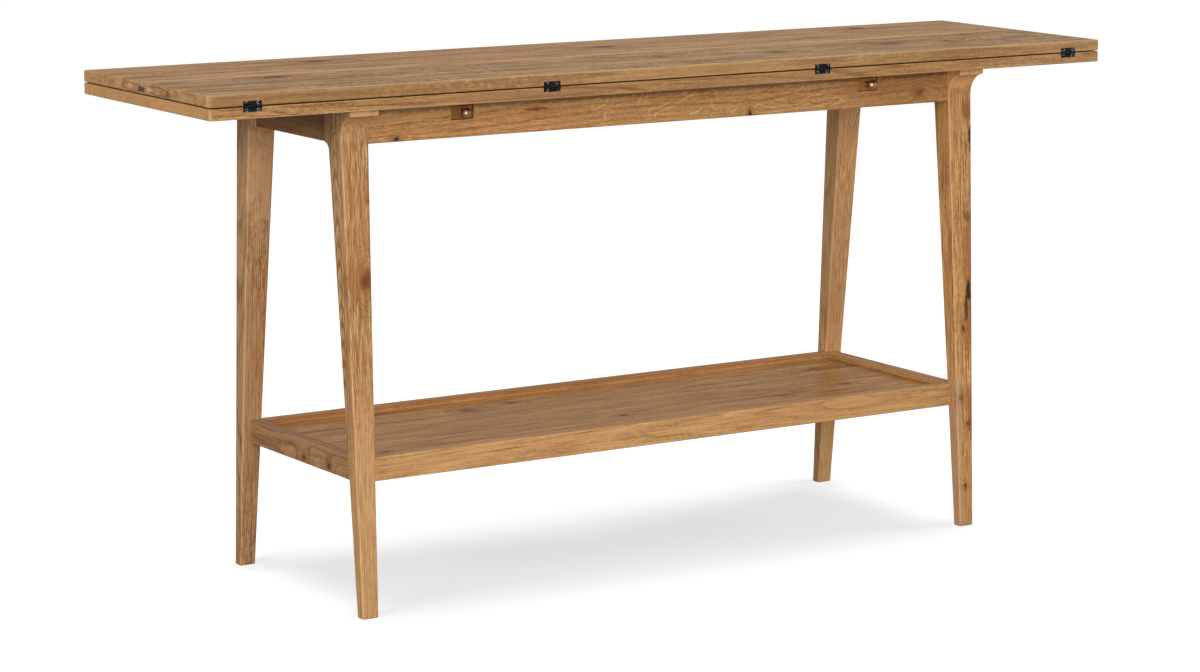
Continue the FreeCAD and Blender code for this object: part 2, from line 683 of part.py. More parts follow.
def guide_strips(x):
    """Two strips under the leaf, one on each side of a support."""
    strips = []
    for side in (-1, 1):
        near = x + side * NOTCH_WIDTH / 2
        far = near + side * GUIDE_STRIP_WIDTH
        x0, x1 = sorted([near, far])
        strips.append(box(x0, x1, -LONG_APRON_BACK, GUIDE_END, NOTCH_BOTTOM, FRAME_TOP))
    holes = [screw_hole(p, Vector(0, 0, 1), GUIDE_SCREW_LENGTH) for p in guide_screw_lines(x)]
    return [strip.cut(holes) for strip in strips]


def keeper(x):
    """Board under the two strips, on which the support runs."""
    half = NOTCH_WIDTH / 2 + GUIDE_STRIP_WIDTH
    low = NOTCH_BOTTOM - KEEPER_THICKNESS
    board = box(x - half, x + half, -LONG_APRON_BACK, GUIDE_END, low, NOTCH_BOTTOM)
    return board.cut([screw_hole(p, Vector(0, 0, 1), GUIDE_SCREW_LENGTH) for p in guide_screw_lines(x)])


# ---- Shelf ----
def shelf_end():
    """Distance from the middle to the outer face of the end rails."""
    return leg_outer_x(SHELF_MIDDLE) - SHELF_END_SETBACK


def shelf_edge():
    """Distance from the middle to the outer face of the long rails."""
    return leg_outer_y(SHELF_MIDDLE) - SHELF_EDGE_SETBACK


def end_dowel_lines():
    """Dowels between the right end rail and the rear right leg."""
    x = shelf_end() - SHELF_RAIL_THICKNESS / 2
    lines = []
    for z in (SHELF_MIDDLE - DOWEL_RISE, SHELF_MIDDLE + DOWEL_RISE):
        joint = Vector(x, leg_inner_y(z), z)
        half = Vector(0, DOWEL_LENGTH / 2, 0)
        lines.append((joint - half, joint + half))
    return lines


def long_dowel_line():
    """Dowel between the rear rail and the right end rail."""
    x = shelf_end() - SHELF_RAIL_THICKNESS
    y = (shelf_edge() - SHELF_RAIL_THICKNESS + leg_inner_y(SHELF_TOP)) / 2
    grip = DOWEL_LENGTH - DOWEL_SHORT_GRIP
    return Vector(x - grip, y, SHELF_MIDDLE), Vector(x + DOWEL_SHORT_GRIP, y, SHELF_MIDDLE)


def dowel_hole(line):
    """Hole for a dowel, open to the joint and a little wider than the dowel."""
    return rod(line[0], line[1], DOWEL_DIAMETER + 2 * DOWEL_CLEARANCE)


def shelf_dowels():
    """All dowels of the shelf frame."""
    lines = end_dowel_lines() + [long_dowel_line()]
    return [d for line in lines for d in four_corners(rod(line[0], line[1], DOWEL_DIAMETER))]


def shelf_long_rail(leg):
    """Rear rail of the shelf, kept clear of the rear legs."""
    half = shelf_end() - SHELF_RAIL_THICKNESS
    outer = shelf_edge()
    rail = box(-half, half, outer - SHELF_RAIL_THICKNESS, outer, SHELF_BOTTOM, SHELF_TOP)
    rail = rail.makeFillet(SHELF_EDGE_ROUND, [e for e in rail.Edges if e.Length > half])
    rail = rail.cut([leg, mirror_x(leg)])
    hole = dowel_hole(long_dowel_line())
    screws = [screw_hole(*line) for line in long_cleat_screws()]
    return rail.cut([hole, mirror_x(hole)] + screws)


def shelf_end_rail():
    """Right rail of the shelf between the legs, its ends cut to their slope."""
    x0 = shelf_end() - SHELF_RAIL_THICKNESS
    low, high = leg_inner_y(SHELF_BOTTOM), leg_inner_y(SHELF_TOP)
    outline = [
        Vector(x0, -low, SHELF_BOTTOM),
        Vector(x0, low, SHELF_BOTTOM),
        Vector(x0, high, SHELF_TOP),
        Vector(x0, -high, SHELF_TOP),
    ]
    rail = prism(outline, Vector(SHELF_RAIL_THICKNESS, 0, 0))
    long_edges = [e for e in rail.Edges if e.Length > shelf_edge()]
    rail = rail.makeFillet(SHELF_EDGE_ROUND, long_edges)
    holes = [dowel_hole(line) for line in end_dowel_lines() + [long_dowel_line()]]
    holes += [mirror_y(hole) for hole in holes]
    holes += [screw_hole(*line) for line in end_cleat_screws()]
    return rail.cut(holes)


def shelf_panel():
    """Board that lies inside the shelf frame, lower than its top edge."""
    half_x = shelf_end() - SHELF_RAIL_THICKNESS - SHELF_PANEL_CLEARANCE
    half_y = shelf_edge() - SHELF_RAIL_THICKNESS - SHELF_PANEL_CLEARANCE
    return box(-half_x, half_x, -half_y, half_y, PANEL_BOTTOM, PANEL_TOP)


def cleat_screw_length():
    """Shank of a screw that goes through a cleat into its rail."""
    return CLEAT_SIZE + SCREW_BITE_SIDE


def long_cleat_screws():
    """Head point, direction and length of the screws in the rear cleat."""
    y = shelf_edge() - SHELF_RAIL_THICKNESS - CLEAT_SIZE
    z = PANEL_BOTTOM - CLEAT_SIZE / 2
    far = shelf_end() - SHELF_RAIL_THICKNESS - CLEAT_END_INSET - CLEAT_SCREW_INSET
    pitch = 2 * far / (CLEAT_SCREW_COUNT - 1)
    places = [pitch * i - far for i in range(CLEAT_SCREW_COUNT)]
    return [(Vector(x, y, z), Vector(0, 1, 0), cleat_screw_length()) for x in places]


def end_cleat_screws():
    """Head point, direction and length of the screws in the right cleat."""
    x = shelf_end() - SHELF_RAIL_THICKNESS - CLEAT_SIZE
    y = shelf_edge() - SHELF_RAIL_THICKNESS - CLEAT_END_INSET - CLEAT_SCREW_INSET
    z = PANEL_BOTTOM - CLEAT_SIZE / 2
    return [(Vector(x, s * y, z), Vector(1, 0, 0), cleat_screw_length()) for s in (-1, 1)]


def shelf_cleats():
    """Square strips screwed inside the shelf frame, which carry the panel."""
    inner_x = shelf_end() - SHELF_RAIL_THICKNESS
    inner_y = shelf_edge() - SHELF_RAIL_THICKNESS
    low = PANEL_BOTTOM - CLEAT_SIZE
    half_x = inner_x - CLEAT_END_INSET
    half_y = inner_y - CLEAT_END_INSET
    rear = box(-half_x, half_x, inner_y - CLEAT_SIZE, inner_y, low, PANEL_BOTTOM)
    rear = rear.cut([screw_hole(*line) for line in long_cleat_screws()])
    right = box(inner_x - CLEAT_SIZE, inner_x, -half_y, half_y, low, PANEL_BOTTOM)
    right = right.cut([screw_hole(*line) for line in end_cleat_screws()])
    return [rear, mirror_y(rear), right, mirror_x(right)]


def cleat_screws():
    """Screws of the four cleats."""
    rear = [wood_screw(*line) for line in long_cleat_screws()]
    right = [wood_screw(*line) for line in end_cleat_screws()]
    return rear + [mirror_y(s) for s in rear] + right + [mirror_x(s) for s in right]


# ---- Fixings as groups ----
def button_group():
    """Every button with its screw hole."""
    head, length = button_screw_line()
    piece = button().cut(screw_hole(head, Vector(0, 0, 1), length))
    return [placed(piece, place, angle) for place, angle in button_frames()]


def button_screws():
    """The screw of every button."""
    head, length = button_screw_line()
    screw = wood_screw(head, Vector(0, 0, 1), length)
    return [placed(screw, place, angle) for place, angle in button_frames()]


def corner_blocks():
    """The four corner blocks with their counterbored screw holes."""
    block = corner_block()
    for head, direction, length in corner_screw_lines():
        room = SCREW_HEAD_DIAMETER + 2 * SLOT_CLEARANCE
        pocket = rod(head - direction * CORNER_BLOCK_LEG, head, room)
        block = block.cut([pocket, screw_hole(head, direction, length)])
    return four_corners(block)


def corner_block_screws():
    """The eight screws of the corner blocks."""
    return [s for line in corner_screw_lines() for s in four_corners(wood_screw(*line))]


def guide_screws():
    """Screws through the keepers and strips into the lower leaf."""
    points = guide_screw_lines(-LOPER_X) + guide_screw_lines(LOPER_X)
    return [wood_screw(p, Vector(0, 0, 1), GUIDE_SCREW_LENGTH) for p in points]


def hinge_screws(side):
    """All hinge screws of the leaf above (side 1) or below (side -1)."""
    return [hinge_screw(p) for x in HINGE_PLACES for p in hinge_screw_points(x, side)]


def finished_leg(blank):
    """Leg with its mortises and dowel holes."""
    return blank.cut(mortises() + [dowel_hole(line) for line in end_dowel_lines()])


def build_nodes():
    """Every node of the table: its name and its solids."""
    blank = rear_right_leg()
    leg = finished_leg(blank)
    rear_rail = shelf_long_rail(blank)
    end_rail = shelf_end_rail()
    right_apron = end_apron()
    nodes = {
        "upper_leaf": [upper_leaf()],
        "lower_leaf": [lower_leaf()],
        "leaf_pads": leaf_pads(),
        "upper_hinge_plates": [hinge_plate(x, 1) for x in HINGE_PLACES],
        "lower_hinge_plates": [hinge_plate(x, -1) for x in HINGE_PLACES],
        "hinge_pins": [pin_at(x, HINGE_PIN_DIAMETER) for x in HINGE_PLACES],
        "upper_hinge_screws": hinge_screws(1),
        "lower_hinge_screws": hinge_screws(-1),
        "front_apron": [front_apron()],
        "rear_apron": [long_apron()],
        "left_end_apron": [mirror_x(right_apron)],
        "right_end_apron": [right_apron],
        "front_left_leg": [mirror_x(mirror_y(leg))],
        "front_right_leg": [mirror_y(leg)],
        "rear_left_leg": [mirror_x(leg)],
        "rear_right_leg": [leg],
        "corner_blocks": corner_blocks(),
        "corner_block_screws": corner_block_screws(),
        "top_buttons": button_group(),
        "top_button_screws": button_screws(),
        "guide_screws": guide_screws(),
        "shelf_front_rail": [mirror_y(rear_rail)],
        "shelf_rear_rail": [rear_rail],
        "shelf_left_rail": [mirror_x(end_rail)],
        "shelf_right_rail": [end_rail],
        "shelf_panel": [shelf_panel()],
        "shelf_dowels": shelf_dowels(),
        "shelf_cleats": shelf_cleats(),
        "shelf_cleat_screws": cleat_screws(),
    }
    for name, x in (("left", -LOPER_X), ("right", LOPER_X)):
        nodes[name + "_loper"] = [loper(x)]
        nodes[name + "_loper_knob"] = [knob(x)]
        nodes[name + "_knob_stud"] = [knob_stud(x)]
        nodes[name + "_stop_pin"] = [stop_pin(x)]
        nodes[name + "_guide_strips"] = guide_strips(x)
        nodes[name + "_guide_keeper"] = [keeper(x)]
    return nodes


def main():
    """Writes one STEP file for each node."""
    os.makedirs("parts", exist_ok=True)
    for name, solids in build_nodes().items():
        shape = solids[0] if len(solids) == 1 else Part.makeCompound(solids)
        shape.exportStep("parts/" + name + ".step")
    print("pivot of the upper leaf: y %.3f, z %.3f" % (PIVOT_Y, PIVOT_Z))
    print("travel of the supports: %.3f" % LOPER_TRAVEL)


main()
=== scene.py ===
import bpy
import math
from mathutils import Matrix, Vector

# Folding console table in oak: finishes, floor, light and camera. Metres.

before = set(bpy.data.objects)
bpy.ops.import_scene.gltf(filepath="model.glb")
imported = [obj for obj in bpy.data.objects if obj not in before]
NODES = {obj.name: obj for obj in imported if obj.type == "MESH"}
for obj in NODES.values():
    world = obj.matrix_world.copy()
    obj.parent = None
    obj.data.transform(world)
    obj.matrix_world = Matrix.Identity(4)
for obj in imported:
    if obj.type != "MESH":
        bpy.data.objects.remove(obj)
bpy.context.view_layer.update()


# ---- Where things sit on the table ----
X, Y, Z = 0, 1, 2  # the axis that a face looks along
HALF_LENGTH = 0.789
HALF_DEPTH = 0.2
LEAF_GAP_Z = 0.7448
LEAF_FACE_Z = 0.758
UPPER_LEAF_Z = 0.754
LOWER_LEAF_Z = 0.735
APRON_FRONT = -0.153
APRON_Z = 0.701
END_APRON_X = 0.545
LEG_X = 0.54
LEG_Y = 0.165
LEG_Z = 0.36
LOPER_X = 0.3632
LOPER_FRONT = -0.1505
SHELF_TOP = 0.218
HINGE_FOLDS = (0.48265, 0.24135)
HINGE_Z = 0.74475
HINGE_SCREW_X = 0.009
HINGE_SCREW_Z = 0.00495
FAR = 9.0  # past every part of the table

# ---- Colours, as 0-255 screen values ----
PALE_OAK = (205, 162, 108)
DEEP_OAK = (138, 92, 50)
EDGE_BROWN = (112, 76, 42)
END_CREAM = (206, 166, 124)

# ---- Fine values of the finishes ----
OAK_SHINE = 0.2
OAK_GRAIN_DEPTH = 0.00015
FLECK_FADE = 0.04
CALM_FADE = 0.1
CALM_SHARE = 0.45
SCREW_GLINT_RING = 0.0021

# ---- Camera ----
CAMERA_PLACE = Vector((-2.95594, -4.47229, 1.29564))
CAMERA_TURN = 0.57990309
CAMERA_DIP = 0.17863076
CAMERA_ROLL = 0.00453334
CAMERA_LENS = 106.295
CAMERA_FILM_WIDTH = 36
CAMERA_REACH = 100

# ---- Light and floor ----
WHITE = (1, 1, 1, 1)
FLOOR_PAINT = (0.2, 0.2, 0.2, 1)
FLOOR_SHADE = (0.29, 0.30, 0.31, 1)
ROOM_FILL = 0.34
GLOSSY_SHARE = 0.25
FLOOR_WIDTH = 60
FLOOR_GLOW = 0.9
# Painted shadow on the floor: its depth under the table and round each foot.
SHADOW_DEPTH = 0.275
FOOT_X = 0.54
FOOT_Y = 0.18
FOOT_SHADOW = 0.08
SOFTBOXES = (
    ("overhead_softbox", (0, 0, 4.4), (0, 0, 0.7), 1.7, 40),
    ("front_softbox", (-2.04, -5.61, 1.3), (0, 0, 0.45), 2.5, 205),
    ("left_softbox", (-5.30, -1.94, 2.5), (0, 0, 0.45), 2.5, 173),
    ("right_softbox", (5.30, -1.94, 2.5), (0, 0, 0.45), 2.5, 150),
)


def place_camera():
    """Long lens at the left of the front, a little above the top."""
    turn_sin, turn_cos = math.sin(CAMERA_TURN), math.cos(CAMERA_TURN)
    dip_sin, dip_cos = math.sin(CAMERA_DIP), math.cos(CAMERA_DIP)
    ahead = Vector((turn_sin * dip_cos, turn_cos * dip_cos, -dip_sin))
    level = Vector((turn_cos, -turn_sin, 0))
    upright = level.cross(ahead)
    right = level * math.cos(CAMERA_ROLL) + upright * math.sin(CAMERA_ROLL)
    top = upright * math.cos(CAMERA_ROLL) - level * math.sin(CAMERA_ROLL)
    data = bpy.data.cameras.new("studio_camera")
    data.lens = CAMERA_LENS
    data.sensor_width = CAMERA_FILM_WIDTH
    data.clip_end = CAMERA_REACH
    camera = bpy.data.objects.new("studio_camera", data)
    bpy.context.scene.collection.objects.link(camera)
    turn = Matrix((right, top, -ahead)).transposed().to_4x4()
    camera.matrix_world = Matrix.Translation(CAMERA_PLACE) @ turn
    bpy.context.scene.camera = camera


# ---- Node helpers ----
def tone(red, green, blue):
    """Colour named by its 0-255 screen values, as linear light."""
    linear = []
    for value in (red, green, blue):
        part = value / 255
        linear.append(part / 12.92 if part <= 0.04045 else ((part + 0.055) / 1.055) ** 2.4)
    return (*linear, 1)


def feed(tree, socket, value):
    """Sets an input to a number, a vector or another node's output."""
    if isinstance(value, bpy.types.NodeSocket):
        tree.links.new(value, socket)
    else:
        socket.default_value = value


def calc(tree, operation, *values, clamp=False):
    """Arithmetic on numbers."""
    node = tree.nodes.new("ShaderNodeMath")
    node.operation = operation
    node.use_clamp = clamp
    for socket, value in zip(node.inputs, values):
        feed(tree, socket, value)
    return node.outputs[0]


def plus(tree, one, other):
    """Sum of two numbers."""
    return calc(tree, "ADD", one, other)


def minus(tree, one, other):
    """One number less another."""
    return calc(tree, "SUBTRACT", one, other)


def times(tree, one, other):
    """Product of two numbers."""
    return calc(tree, "MULTIPLY", one, other)


def over(tree, one, other):
    """One number divided by another."""
    return calc(tree, "DIVIDE", one, other)


def scaled(tree, value, factor, extra):
    """A number times a factor, and an extra on top."""
    return calc(tree, "MULTIPLY_ADD", value, factor, extra)


def size_of(tree, value):
    """A number without its sign."""
    return calc(tree, "ABSOLUTE", value)


def apart(tree, one, other):
    """How far two numbers lie from each other."""
    return size_of(tree, minus(tree, one, other))


def vector(tree, operation, *values):
    """Arithmetic on vectors."""
    node = tree.nodes.new("ShaderNodeVectorMath")
    node.operation = operation
    for socket, value in zip(node.inputs, values):
        feed(tree, socket, value)
    return node.outputs["Value" if operation == "LENGTH" else "Vector"]


def split(tree, value):
    """The three numbers of a vector."""
    node = tree.nodes.new("ShaderNodeSeparateXYZ")
    feed(tree, node.inputs[0], value)
    return node.outputs[0], node.outputs[1], node.outputs[2]


def build(tree, x, y, z):
    """A vector from three numbers."""
    node = tree.nodes.new("ShaderNodeCombineXYZ")
    for socket, value in zip(node.inputs, (x, y, z)):
        feed(tree, socket, value)
    return node.outputs[0]


def spread(tree, value, low, high, to_low=0.0, to_high=1.0, curve="SMOOTHSTEP"):
    """Stretches a range of values over another range and holds the ends."""
    node = tree.nodes.new("ShaderNodeMapRange")
    node.interpolation_type = curve
    for socket, number in zip(node.inputs, (value, low, high, to_low, to_high)):
        feed(tree, socket, number)
    return node.outputs[0]


def mottle(tree, place, stretch, detail, rough, bend=0.0, colour=False):
    """Cloudy noise; stretch gives its cycles per metre along each axis."""
    node = tree.nodes.new("ShaderNodeTexNoise")
    feed(tree, node.inputs["Vector"], vector(tree, "MULTIPLY", place, stretch))
    feed(tree, node.inputs["Scale"], 1.0)
    feed(tree, node.inputs["Detail"], detail)
    feed(tree, node.inputs["Roughness"], rough)
    feed(tree, node.inputs["Distortion"], bend)
    return node.outputs["Color" if colour else "Fac"]


def chance(tree, value):
    """Three random numbers that belong to one number."""
    node = tree.nodes.new("ShaderNodeTexWhiteNoise")
    node.noise_dimensions = "1D"
    feed(tree, node.inputs["W"], value)
    return split(tree, node.outputs["Color"])


def tint(tree, amount, under, top):
    """One colour over another."""
    node = tree.nodes.new("ShaderNodeMix")
    node.data_type = "RGBA"
    feed(tree, node.inputs[0], amount)
    feed(tree, node.inputs[6], under)
    feed(tree, node.inputs[7], top)
    return node.outputs[2]


def effect(name, takes, gives):
    """Empty shader group with named inputs and outputs."""
    group = bpy.data.node_groups.new(name, "ShaderNodeTree")
    sockets = group.interface
    for label, kind, start in takes:
        socket = sockets.new_socket(name=label, in_out="INPUT", socket_type="NodeSocket" + kind)
        socket.default_value = start
    for label, kind in gives:
        sockets.new_socket(name=label, in_out="OUTPUT", socket_type="NodeSocket" + kind)
    inside = group.nodes.new("NodeGroupInput").outputs
    outside = group.nodes.new("NodeGroupOutput").inputs
    return group, inside, outside


def use(tree, group, **values):
    """Places a group; underscores in a name stand for spaces."""
    node = tree.nodes.new("ShaderNodeGroup")
    node.node_tree = group
    for label, value in values.items():
        feed(tree, node.inputs[label.replace("_", " ")], value)
    return node.outputs


def from_middle(group, take):
    """Way from the middle of a mark, in parts of its size."""
    way = vector(group, "SUBTRACT", take["Place"], take["Middle"])
    return vector(group, "DIVIDE", way, take["Size"])


# ---- Wood effects. The grain runs along X of the place that they are given. ----
def make_glued_boards():
    """Boards laid side by side across Y, each with its own cut of the log."""
    group, take, give = effect(
        "glued_boards",
        [
            ("Place", "Vector", (0, 0, 0)),
            ("Board Width", "Float", 0.2),
            ("Joint Shift", "Float", 0.0),
            ("Variety", "Float", 1.0),
            ("Seed", "Float", 0.0),
        ],
        [("Place", "Vector"), ("Along", "Float"), ("Number", "Float"), ("Joint", "Float")],
    )
    x, y, z = split(group, take["Place"])
    across = over(group, minus(group, y, take["Joint Shift"]), take["Board Width"])
    number = calc(group, "FLOOR", across)
    part = minus(group, calc(group, "FRACT", across), 0.5)
    slide, lift, turn = chance(group, plus(group, number, take["Seed"]))
    own_x = plus(group, x, times(group, slide, 3.0))
    slant = times(group, scaled(group, turn, 0.05, -0.025), take["Variety"])
    tilt = times(group, x, slant)
    own_y = scaled(group, part, take["Board Width"], tilt)
    shift_z = times(group, scaled(group, lift, 0.02, -0.01), take["Variety"])
    own_z = plus(group, z, shift_z)
    to_joint = times(group, minus(group, 0.5, size_of(group, part)), take["Board Width"])
    feed(group, give["Place"], build(group, own_x, own_y, own_z))
    feed(group, give["Along"], x)
    feed(group, give["Number"], plus(group, number, take["Seed"]))
    feed(group, give["Joint"], to_joint)
    return group


def make_growth_rings():
    """Year rings round a pith that lies beside the board and wanders along it."""
    group, take, give = effect(
        "growth_rings",
        [
            ("Place", "Vector", (0, 0, 0)),
            ("Along", "Float", 0.0),
            ("Pith", "Vector", (0, 0, -0.05)),
            ("Lean", "Vector", (0, 0, 0.01)),
            ("Lean From", "Float", -FAR),
            ("Lean Until", "Float", FAR),
            ("Wander", "Float", 0.03),
            ("Ring Width", "Float", 0.004),
            ("Ripple", "Float", 1.2),
            ("Swirl", "Float", 0.0),
            ("Seed", "Float", 0.0),
        ],
        [("Ring", "Float"), ("Late", "Float")],
    )
    place = take["Place"]
    _, y, z = split(group, place)
    before_end = calc(group, "MINIMUM", take["Along"], take["Lean Until"])
    x = calc(group, "MAXIMUM", before_end, take["Lean From"])
    shifted = vector(group, "ADD", place, build(group, take["Seed"], take["Seed"], 0.0))
    wander = mottle(group, shifted, (1.7, 5, 5), 2.0, 0.5, 0.0, True)
    wander_y, wander_z, _ = split(group, wander)
    ripple = mottle(group, shifted, (9, 30, 30), 2.0, 0.5)
    _, pith_y, pith_z = split(group, take["Pith"])
    _, lean_y, lean_z = split(group, take["Lean"])

    def off_pith(own, pith, lean, drift):
        straight = minus(group, own, scaled(group, x, lean, pith))
        return scaled(group, minus(group, drift, 0.5), take["Wander"], straight)

    from_y = off_pith(y, pith_y, lean_y, wander_y)
    from_z = off_pith(z, pith_z, lean_z, wander_z)
    from_pith = vector(group, "LENGTH", build(group, 0.0, from_y, from_z))
    radius = plus(group, from_pith, take["Swirl"])
    wave = times(group, take["Ring Width"], take["Ripple"])
    radius = scaled(group, minus(group, ripple, 0.5), wave, radius)
    years = over(group, radius, take["Ring Width"])
    part = calc(group, "FRACT", years)
    strength, _, _ = chance(group, calc(group, "FLOOR", years))
    rise = spread(group, part, 0.0, 0.1)
    early = times(group, rise, spread(group, part, 0.12, 0.6, 1.0, 0.0))
    feed(group, give["Ring"], times(group, early, spread(group, strength, 0, 1, 0.35, 1.0)))
    feed(group, give["Late"], spread(group, part, 0.5, 0.95))
    return group


def make_oak_fibre():
    """Fine streaks, broad streaks and open pores along the grain."""
    group, take, give = effect(
        "oak_fibre",
        [
            ("Place", "Vector", (0, 0, 0)),
            ("Ring", "Float", 0.0),
            ("Long Lines", "Float", 0.45),
            ("Fineness", "Float", 1.0),
            ("Coarse", "Float", 1.0),
        ],
        [("Fine", "Float"), ("Broad", "Float"), ("Pores", "Float")],
    )
    place = take["Place"]
    narrow = vector(group, "MULTIPLY", place, build(group, 1.0, take["Fineness"], 1.0))
    short = mottle(group, narrow, (130, 480, 480), 3.0, 0.7)
    long = mottle(group, narrow, (12, 430, 430), 2.0, 0.6, 0.2)
    share = take["Long Lines"]
    fine = scaled(group, minus(group, long, short), share, short)
    wider = vector(group, "MULTIPLY", place, build(group, take["Coarse"], take["Coarse"], 1.0))
    middling = mottle(group, wider, (11, 150, 150), 3.0, 0.6, 0.2)
    broad = mottle(group, place, (1.8, 26, 26), 3.0, 0.55, 0.5)
    broad = scaled(group, middling, 0.75, times(group, broad, 0.25))
    dashes = mottle(group, place, (80, 1300, 1300), 2.0, 0.5)
    limit = scaled(group, take["Ring"], -0.12, 0.62)
    open_part = minus(group, dashes, limit)
    calm = spread(group, mottle(group, place, (2.5, 14, 14), 2.0, 0.5), 0.38, 0.62, 0.35, 1.15)
    lines = minus(group, spread(group, fine, 0.35, 0.65, 0, 1, "LINEAR"), 0.5)
    feed(group, give["Fine"], scaled(group, lines, calm, 0.5))
    feed(group, give["Broad"], spread(group, broad, 0.3, 0.7, 0, 1, "LINEAR"))
    feed(group, give["Pores"], spread(group, open_part, 0.0, 0.06))
    return group


def make_ray_fleck():
    """Curly pale flecks of a quarter-sawn face: broken lines that slant across the grain."""
    group, take, give = effect(
        "ray_fleck",
        [("Place", "Vector", (0, 0, 0)), ("Amount", "Float", 0.0)],
        [("Fleck", "Float")],
    )
    place = take["Place"]
    x, _, z = split(group, place)
    slant = scaled(group, x, 40.0, times(group, z, -90.0))
    hills = mottle(group, place, (11, 17, 17), 2.0, 0.5, 0.6)
    lines = calc(group, "FRACT", scaled(group, hills, 12.0, slant))
    line = spread(group, apart(group, lines, 0.5), 0.04, 0.17, 1, 0)
    patches = spread(group, mottle(group, place, (30, 70, 70), 2.0, 0.5), 0.47, 0.58)
    fleck = times(group, times(group, line, patches), take["Amount"])
    feed(group, give["Fleck"], fleck)
    return group


def make_branch_knot():
    """One knot: dark heart, brown halo, and a swirl that pushes the rings round it."""
    group, take, give = effect(
        "branch_knot",
        [
            ("Place", "Vector", (0, 0, 0)),
            ("Middle", "Vector", (0, 0, 0)),
            ("Size", "Vector", (0.01, 0.005, 0.01)),
            ("Darkness", "Float", 1.0),
            ("Heart Before", "Float", 0.0),
            ("Halo Before", "Float", 0.0),
            ("Swirl Before", "Float", 0.0),
        ],
        [("Heart", "Float"), ("Halo", "Float"), ("Swirl", "Float")],
    )
    ragged = mottle(group, take["Place"], (90, 150, 150), 2.0, 0.6, 0.0, True)
    ragged = vector(group, "SUBTRACT", ragged, (0.5, 0.5, 0.5))
    off = from_middle(group, take)
    plain = vector(group, "LENGTH", off)
    jag = vector(group, "MULTIPLY", ragged, (1.6, 1.6, 1.6))
    rough = vector(group, "LENGTH", vector(group, "ADD", off, jag))
    heart = times(group, spread(group, rough, 0.45, 1.05, 1, 0), take["Darkness"])
    halo = spread(group, rough, 0.6, 3.2, 1, 0)
    bulge = spread(group, plain, 0.0, 4.5, 1, 0)
    _, high, _ = split(group, take["Size"])
    push = times(group, times(group, bulge, high), 0.9)
    feed(group, give["Heart"], calc(group, "MAXIMUM", heart, take["Heart Before"]))
    feed(group, give["Halo"], calc(group, "MAXIMUM", halo, take["Halo Before"]))
    feed(group, give["Swirl"], plus(group, push, take["Swirl Before"]))
    return group


def make_stain():
    """Colour in one ragged oval spot, laid over the colour that is there."""
    group, take, give = effect(
        "stain",
        [
            ("Under", "Color", WHITE),
            ("Place", "Vector", (0, 0, 0)),
            ("Middle", "Vector", (0, 0, 0)),
            ("Size", "Vector", (0.01, 0.01, 0.01)),
            ("Tone", "Color", (0.1, 0.05, 0.02, 1)),
            ("Amount", "Float", 0.5),
        ],
        [("Colour", "Color")],
    )
    off = from_middle(group, take)
    cloudy = mottle(group, take["Place"], (110, 110, 110), 3.0, 0.6)
    near = scaled(group, cloudy, 1.4, vector(group, "LENGTH", off))
    mask = spread(group, near, 1.2, 1.9, take["Amount"], 0)
    feed(group, give["Colour"], tint(group, mask, take["Under"], take["Tone"]))
    return group


def make_end_arcs():
    """Dark oval lines round one another, as year rings cut across."""
    group, take, give = effect(
        "end_arcs",
        [
            ("Under", "Color", WHITE),
            ("Place", "Vector", (0, 0, 0)),
            ("Middle", "Vector", (0, 0, 0)),
            ("Size", "Vector", (0.01, 0.01, 0.01)),
            ("Count", "Float", 1.0),
            ("Width", "Float", 0.1),
            ("Amount", "Float", 0.5),
        ],
        [("Colour", "Color")],
    )
    off = from_middle(group, take)
    wobble = mottle(group, take["Place"], (60, 60, 60), 2.0, 0.5)
    radius = plus(group, vector(group, "LENGTH", off), scaled(group, wobble, 0.3, -0.15))
    turns = times(group, radius, take["Count"])
    beside = apart(group, turns, calc(group, "ROUND", turns))
    fade = times(group, take["Width"], take["Count"])
    line = spread(group, beside, 0.0, fade, take["Amount"], 0)
    line = times(group, line, spread(group, radius, 1.05, 1.15, 1, 0))
    line = times(group, line, spread(group, radius, 0.15, 0.35))
    feed(group, give["Colour"], tint(group, line, take["Under"], tone(82, 54, 36)))
    return group


